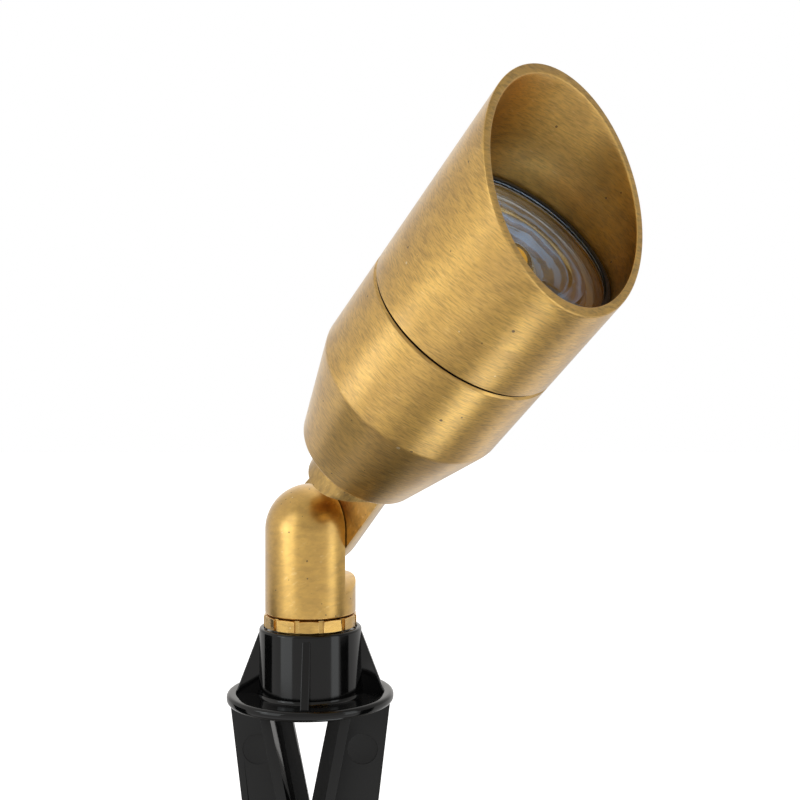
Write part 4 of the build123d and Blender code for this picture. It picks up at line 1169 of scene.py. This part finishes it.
class SPOTLIGHT_OT_upper_knuckle(bpy.types.Operator):
    """Makes the tapered upper arm, whose lap face meets the lower one"""
    bl_idname = "spotlight.upper_knuckle"
    bl_label = "Upper knuckle"

    def execute(self, context):
        sizes = context.scene.spotlight_sizes
        where = HEAD @ Matrix.Translation((0, UPPER_AXIS, UPPER_DOME_SETBACK))
        end = HOUSING_LOW.z - UPPER_DOME_SETBACK
        outline = []
        for step in range(DOME_STEPS + 1):
            angle = -pi / 2 + (pi / 2 + UPPER_TAPER) * step / DOME_STEPS
            outline.append((KNUCKLE_RADIUS * cos(angle) * (step > 0), KNUCKLE_RADIUS * sin(angle)))
        r, z = outline[-1]
        rise = end - z
        outline += [(r - UPPER_TAPER * rise * i / TAPER_STEPS, z + rise * i / TAPER_STEPS)
                    for i in range(1, TAPER_STEPS + 1)]
        outline.append((0, end))
        arm = turned("upper_knuckle", outline, where, segments=320)
        lap = block("lap", (-FAR, -FAR, -FAR), (FAR, UPPER_FACE, FAR), HEAD)
        crown = cross_bar("crown", SHOULDER_RADIUS, -2 * FAR, 2 * FAR, -SHOULDER_SHIFT,
                          SHOULDER_START + SHOULDER_RADIUS, HEAD, segments=320)
        combine(lap, crown, "DIFFERENCE")
        combine(arm, lap, "DIFFERENCE")
        counterbore = cross_bar("counterbore", COUNTERBORE_RADIUS, WASHER_LOW.y - SEAT_GAP, FAR, 0, 0, HEAD,
                                segments=128)
        combine(arm, counterbore, "DIFFERENCE")
        break_edges(arm, sizes.knuckle_edge)
        root = HOUSING_LOW.z - STUD_SINK
        stud = turned("stud", rounded([
            (STUD_BORE_RADIUS, root), (STUD_RADIUS, root), (STUD_RADIUS, ARM_HIGH.z, 0.4 * MM),
            (STUD_BORE_RADIUS, ARM_HIGH.z, 0.3 * MM)]), HEAD, segments=96)
        join(arm, [stud])
        # The upper arm gets the brass with painted shade.
        fit_out(arm, "head", "knuckle_brass", finish_of("machined brass lap"), "upper_knuckle")
        return {"FINISHED"}


class SPOTLIGHT_OT_pivot_screw(bpy.types.Operator):
    """Makes the socket-head pivot screw and its washer"""
    bl_idname = "spotlight.pivot_screw"
    bl_label = "Pivot screw and washer"

    def execute(self, context):
        along = HEAD @ Matrix.Rotation(-pi / 2, 4, "X")
        start, end = WASHER_LOW.y, WASHER_HIGH.y
        radius = WASHER_HIGH.x
        washer = turned("screw_washer", rounded([
            (WASHER_BORE_RADIUS, start), (radius, start, 0.15 * MM), (radius, end, 0.2 * MM),
            (WASHER_BORE_RADIUS, end, 0.1 * MM)]), along, segments=128)
        fit_out(washer, "screw", "stainless", finish_of("stainless steel"), "screw_washer")
        head = SCREW_HIGH.x
        top = SCREW_HIGH.y
        screw = turned("pivot_screw", rounded([
            (0, SCREW_LOW.y), (SCREW_RADIUS, SCREW_LOW.y), (SCREW_RADIUS, end), (head, end, 0.1 * MM),
            (head, top, 0.5 * MM), (0, top)]), along, segments=192)
        hexagon = turned("socket", [
            (0, top - SOCKET_POINT_DEPTH), (SOCKET_CORNER_RADIUS, top - SOCKET_DEPTH),
            (SOCKET_CORNER_RADIUS, top + MM), (0, top + MM)], along, segments=6)
        combine(screw, hexagon, "DIFFERENCE")
        for groove in range(KNURL_GROOVES):
            turn = along @ Matrix.Rotation(groove * 2 * pi / KNURL_GROOVES, 4, "Z")
            cut = block("knurl", (head - KNURL_DEPTH, -KNURL_HALF_WIDTH, end + KNURL_FOOT),
                        (head + MM, KNURL_HALF_WIDTH, top - KNURL_DROP), turn)
            combine(screw, cut, "DIFFERENCE")
        finish_mesh(screw.data)
        fit_out(screw, "screw", "stainless", finish_of("stainless steel"), "pivot_screw")
        return {"FINISHED"}


class SPOTLIGHT_OT_housing(bpy.types.Operator):
    """Makes the head's rear housing with its cone, barrel, seam chamfer and threaded spigot"""
    bl_idname = "spotlight.housing"
    bl_label = "Rear housing"

    def execute(self, context):
        sizes = context.scene.spotlight_sizes
        back = HOUSING_LOW.z
        end = HOUSING_HIGH.z
        chamfer = sizes.seam_chamfer
        ring = SHOULDER_FACE + RING_SETBACK
        groove_start = ring - RING_HALF_WIDTH
        groove_end = ring + RING_HALF_WIDTH
        groove_floor = SPIGOT_RADIUS - RING_HALF_WIDTH
        relief = SPIGOT_RADIUS - SPIGOT_RELIEF
        thread_root = SPIGOT_RADIUS - THREAD_DEPTH
        outline = rounded([
            (0, back), (HOUSING_BACK_RADIUS, back, sizes.back_round),
            (HEAD_RADIUS, CONE_FRONT, sizes.cone_round), (HEAD_RADIUS, SHOULDER_FACE - chamfer, SEAM_EDGE),
            (HEAD_RADIUS - chamfer, SHOULDER_FACE, SEAM_EDGE), (relief, SHOULDER_FACE),
            (relief, groove_start),
            (groove_floor, groove_start), (groove_floor, groove_end), (thread_root, groove_end),
            (thread_root, end, SPIGOT_END_ROUND), (SPIGOT_BORE_RADIUS, end, SPIGOT_END_ROUND),
            (SPIGOT_BORE_RADIUS, end - SPIGOT_BORE_LENGTH), (0, back + HOUSING_FLOOR)], steps=16)
        housing = turned("rear_housing", outline, HEAD, segments=384)
        thread = self.thread(groove_end + THREAD_END_GAP, end - THREAD_END_GAP)
        join(housing, [thread])
        # Painted shade: the shoulder face, spigot relief and O-ring groove inside the seam gap get the
        # near-black painted seam shade.
        slack = 0.02 * MM
        seam_shade_faces = [max(vertex_radii(housing, face)) < HEAD_RADIUS - chamfer + slack
                 and min(vertex_heights(housing, face)) > SHOULDER_FACE - slack
                 and max(vertex_heights(housing, face)) < groove_end + slack
                 for face in housing.data.polygons]
        fit_out(housing, "head", "body_brass", finish_of("brushed brass head"), "rear_housing")
        second_material(housing, finish_of("seam grime"), seam_shade_faces)
        return {"FINISHED"}

    def thread(self, bottom, top):
        """One raised helix round the spigot."""
        count = int((top - bottom - THREAD_PITCH) / THREAD_PITCH * THREAD_STEPS)
        root = SPIGOT_RADIUS - THREAD_DEPTH - THREAD_SINK
        crest = SPIGOT_RADIUS
        section = [(root, 0), (crest, THREAD_FLANK), (crest, THREAD_FLANK + THREAD_LAND),
                   (root, 2 * THREAD_FLANK + THREAD_LAND)]
        corners = len(section)
        verts, faces = [], []
        for i in range(count + 1):
            angle = 2 * pi * i / THREAD_STEPS
            fade = min(1.0, i / THREAD_FADE_STEPS, (count - i) / THREAD_FADE_STEPS)
            for r, z in section:
                radius = root + (r - root) * fade
                height = bottom + z + THREAD_PITCH * i / THREAD_STEPS
                verts.append((radius * cos(angle), radius * sin(angle), height))
        for i in range(count):
            here = corners * i
            ahead = here + corners
            for k in range(corners):
                n = (k + 1) % corners
                faces.append([here + k, ahead + k, ahead + n, here + n])
        return piece("thread", verts, faces, HEAD)


class SPOTLIGHT_OT_cap(bpy.types.Operator):
    """Makes the glare cap, a thin brass tube with a slanted rim"""
    bl_idname = "spotlight.cap"
    bl_label = "Glare cap"

    def execute(self, context):
        sizes = context.scene.spotlight_sizes
        seam = CAP_LOW.z
        rim = RIM_CENTRE
        edge = sizes.cap_rim_round
        outer_start = seam + CAP_OUTER_STRAIGHT
        inner_start = GASKET_HIGH.z + CAP_INNER_STRAIGHT
        inner_step = GASKET_LOW.z
        mouth = SPIGOT_RADIUS + CAP_MOUTH_CLEARANCE
        thread_bore = SPIGOT_RADIUS + THREAD_CLEARANCE
        thread_top = HOUSING_HIGH.z + CAP_THREAD_OVERRUN
        outer_length = rim - edge - outer_start
        inner_length = rim - edge - inner_start

        outline = [(thread_bore, seam + CAP_MOUTH_DEPTH), (mouth, seam + CAP_MOUTH_STEP), (mouth, seam)]
        outline += rounded([
            (mouth, seam), (HEAD_RADIUS, seam, CAP_SEAM_ROUND), (HEAD_RADIUS, outer_start)])[1:-1]
        outline += [(HEAD_RADIUS, outer_start + outer_length * i / CAP_OUTER_ROWS)
                    for i in range(CAP_OUTER_ROWS)]
        outline += rounded([
            (HEAD_RADIUS, rim - 3 * edge), (HEAD_RADIUS, rim, edge), (CAP_BORE_RADIUS, rim, edge),
            (CAP_BORE_RADIUS, rim - 3 * edge)], steps=5)
        outline += [(CAP_BORE_RADIUS, rim - edge - inner_length * i / CAP_INNER_ROWS)
                    for i in range(2, CAP_INNER_ROWS + 1)]
        outline += [(CAP_BORE_RADIUS, inner_step), (CAP_REAR_BORE_RADIUS, inner_step),
                    (CAP_REAR_BORE_RADIUS, thread_top), (thread_bore, thread_top)]

        def lean(r, z, angle):
            """Leans the far ends of the outside and of the bore over to the slanted rim."""
            outside = r > (HEAD_RADIUS + CAP_BORE_RADIUS) / 2
            start = outer_start if outside else inner_start
            share = max(0.0, min(1.0, (z - start) / (rim - edge - start)))
            return z - share * RIM_SLOPE * r * cos(angle)

        cap = turned("glare_cap", outline, HEAD, segments=384, lean=lean)
        # The faces inside the bore get the lighter copy of the brass, with painted light.
        inside = [max(vertex_radii(cap, face)) < CAP_BORE_RADIUS + 0.25 * MM for face in cap.data.polygons]
        # Painted shade: the cap's mouth faces beside the seam get the near-black painted seam shade.
        seam_shade_faces = [max(vertex_radii(cap, face)) < HEAD_RADIUS - 0.2 * MM
                 and max(vertex_heights(cap, face)) < seam + CAP_MOUTH_DEPTH + 0.1 * MM
                 for face in cap.data.polygons]
        fit_out(cap, "cap", "cap_brass", finish_of("brushed brass head"), "glare_cap")
        second_material(cap, finish_of("brushed brass inside"), inside)
        second_material(cap, finish_of("seam grime"), seam_shade_faces)
        return {"FINISHED"}


class SPOTLIGHT_OT_lens(bpy.types.Operator):
    """Makes the flat lens and the rubber ring round it"""
    bl_idname = "spotlight.lens"
    bl_label = "Lens and gasket"

    def execute(self, context):
        low, high = GLASS_LOW.z, GLASS_HIGH.z
        radius = GLASS_HIGH.x
        glass = turned("lens_glass", rounded([
            (0, low), (radius, low, GLASS_EDGE), (radius, high, GLASS_EDGE), (0, high)]), HEAD, segments=192)
        fit_out(glass, "lens_unit", "clear_glass", finish_of("lens glass"), "lens_glass")
        outside = GASKET_HIGH.x
        inside = radius - GASKET_LIP_REACH
        seat = radius + 0.03 * MM
        back, front = GASKET_LOW.z, GASKET_HIGH.z
        gasket = turned("lens_gasket", rounded([
            (inside, back, 0.15 * MM), (outside, back, 0.2 * MM), (outside, front, 0.45 * MM),
            (inside, front, 0.25 * MM), (inside + 0.05 * MM, high + 0.02 * MM), (seat, high), (seat, low),
            (inside, low - 0.02 * MM)]), HEAD)
        fit_out(gasket, "lens_unit", "black_rubber", finish_of("black rubber"), "lens_gasket")
        return {"FINISHED"}


class SPOTLIGHT_OT_lamp(bpy.types.Operator):
    """Makes the lamp's face: bezel, clear optic, reflector with painted reflections and chip"""
    bl_idname = "spotlight.lamp"
    bl_label = "Lamp face"

    def execute(self, context):
        front = BEZEL_HIGH.z
        outer = BEZEL_HIGH.x
        inner = outer - BEZEL_WIDTH
        bezel = turned("lamp_bezel", rounded([
            (inner, BEZEL_LOW.z), (outer, BEZEL_LOW.z), (outer, front, 0.4 * MM),
            (inner + BEZEL_SLOPE_WIDTH, front, 0.2 * MM), (inner, front - BEZEL_SLOPE_HEIGHT, 0.2 * MM)]),
            HEAD, segments=192)
        fit_out(bezel, "head", "lamp_grey", finish_of("dark lamp body"), "lamp_bezel")
        back = OPTIC_LOW.z
        rim = OPTIC_HIGH.x
        top = OPTIC_HIGH.z
        foot = (rim, top + OPTIC_RIM_FOOT * MM)
        outline = rounded([
            *self.raised(OPTIC_CUP, back), *self.raised([OPTIC_UNDERSIDE], top), foot,
            (rim, top + OPTIC_RIM_TOP * MM, OPTIC_RIM_ROUND * MM),
            *self.raised(OPTIC_FACE, top)], steps=10)[:-1]
        half = asin(OPTIC_LENS_RADIUS / OPTIC_LENS_SPHERE)
        for step in range(OPTIC_LENS_STEPS + 1):
            angle = half * (1 - step / OPTIC_LENS_STEPS)
            radius = OPTIC_LENS_SPHERE * sin(angle) * (step < OPTIC_LENS_STEPS)
            outline.append((radius, top - OPTIC_LENS_SPHERE + OPTIC_LENS_SPHERE * cos(angle)))
        optic = turned("lamp_optic", outline, HEAD)
        fit_out(optic, "head", "optic_plastic", finish_of("clear optic"), "lamp_optic")
        low = back - REFLECTOR_GAP
        bowl = []
        for step in range(REFLECTOR_STEPS + 1):
            share = step / REFLECTOR_STEPS
            radius = REFLECTOR_INNER_RADIUS + REFLECTOR_WIDTH * share
            bowl.append((radius, low + REFLECTOR_RISE * share ** REFLECTOR_CURVE))
        bowl += self.raised(REFLECTOR_RIM, low)
        underside = [(r, z - REFLECTOR_THICKNESS) for r, z in reversed(bowl)]
        reflector = turned("lamp_reflector", bowl + underside, HEAD, segments=192)
        fit_out(reflector, "head", "bare_aluminium", finish_of("faceted reflector"))
        chip = turned("led_chip", rounded([
            (0, CHIP_LOW.z), (CHIP_RADIUS, CHIP_LOW.z), (CHIP_RADIUS, CHIP_HIGH.z, CHIP_EDGE),
            (0, CHIP_HIGH.z)]), HEAD, segments=64)
        fit_out(chip, "head", "yellow_phosphor", finish_of("yellow phosphor"), "led_chip")
        return {"FINISHED"}

    def raised(self, corners, height):
        """Corners in metres from (r, z) or (r, z, corner radius) in mm, with z counted from a height."""
        return [(r * MM, height + z * MM, *(radius * MM for radius in rest)) for r, z, *rest in corners]


INNER_FINISHES = {
    "black rubber": ("knuckle_seal", "housing_o_ring", "wire_seal"),
    "white solder mask": ("led_board",),
    "bare aluminium": ("lamp_heat_sink",),
    "dark lamp body": ("lamp_base",),
    "stainless steel": ("lamp_pins", "holder_contacts", "holder_bracket", "bracket_screws", "holder_screws"),
    "cream ceramic": ("lampholder",),
    "machined brass nut": ("neck_nut",),
    "white silicone": ("lampholder_leads",),
}


class SPOTLIGHT_OT_inner_parts(bpy.types.Operator):
    """Gives the inner parts, which keep their CAD shapes, their finishes"""
    bl_idname = "spotlight.inner_parts"
    bl_label = "Inner parts"

    def execute(self, context):
        for finish, nodes in INNER_FINISHES.items():
            for node in nodes:
                mesh = frame["nodes"][node].data
                mesh.materials.clear()
                mesh.materials.append(finish_of(finish))
        return {"FINISHED"}


OPERATORS = (
    SPOTLIGHT_OT_stage, SPOTLIGHT_OT_spike, SPOTLIGHT_OT_lock_nut, SPOTLIGHT_OT_lower_knuckle,
    SPOTLIGHT_OT_upper_knuckle, SPOTLIGHT_OT_pivot_screw, SPOTLIGHT_OT_housing, SPOTLIGHT_OT_cap,
    SPOTLIGHT_OT_lens, SPOTLIGHT_OT_lamp, SPOTLIGHT_OT_inner_parts,
)


class SPOTLIGHT_PT_panel(bpy.types.Panel):
    """Lists the pieces and the settings"""
    bl_idname = "SPOTLIGHT_PT_panel"
    bl_label = "Garden Spotlight"
    bl_space_type = "VIEW_3D"
    bl_region_type = "UI"
    bl_category = "Spotlight"

    def draw(self, context):
        for operator in OPERATORS:
            self.layout.operator(operator.bl_idname)
        for group in (context.scene.spotlight_sizes, context.scene.spotlight_finishes,
                      context.scene.spotlight_studio):
            box = self.layout.box()
            for name in group.bl_rna.properties.keys():
                if name not in ("name", "rna_type"):
                    box.prop(group, name)


SETTINGS = {
    "spotlight_sizes": SpotlightSizes,
    "spotlight_finishes": SpotlightFinishes,
    "spotlight_studio": SpotlightStudio,
}


def register():
    """Adds the settings, the operators and the panel to Blender."""
    for settings in SETTINGS.values():
        bpy.utils.register_class(settings)
    for name, settings in SETTINGS.items():
        setattr(bpy.types.Scene, name, bpy.props.PointerProperty(type=settings))
    for operator in OPERATORS:
        bpy.utils.register_class(operator)
    bpy.utils.register_class(SPOTLIGHT_PT_panel)


def unregister():
    """Takes them out again."""
    bpy.utils.unregister_class(SPOTLIGHT_PT_panel)
    for operator in reversed(OPERATORS):
        bpy.utils.unregister_class(operator)
    for name, settings in SETTINGS.items():
        delattr(bpy.types.Scene, name)
        bpy.utils.unregister_class(settings)


def main():
    """Builds every piece."""
    register()
    for operator in OPERATORS:
        group, name = operator.bl_idname.split(".")
        getattr(getattr(bpy.ops, group), name)()


if __name__ == "__main__":
    main()
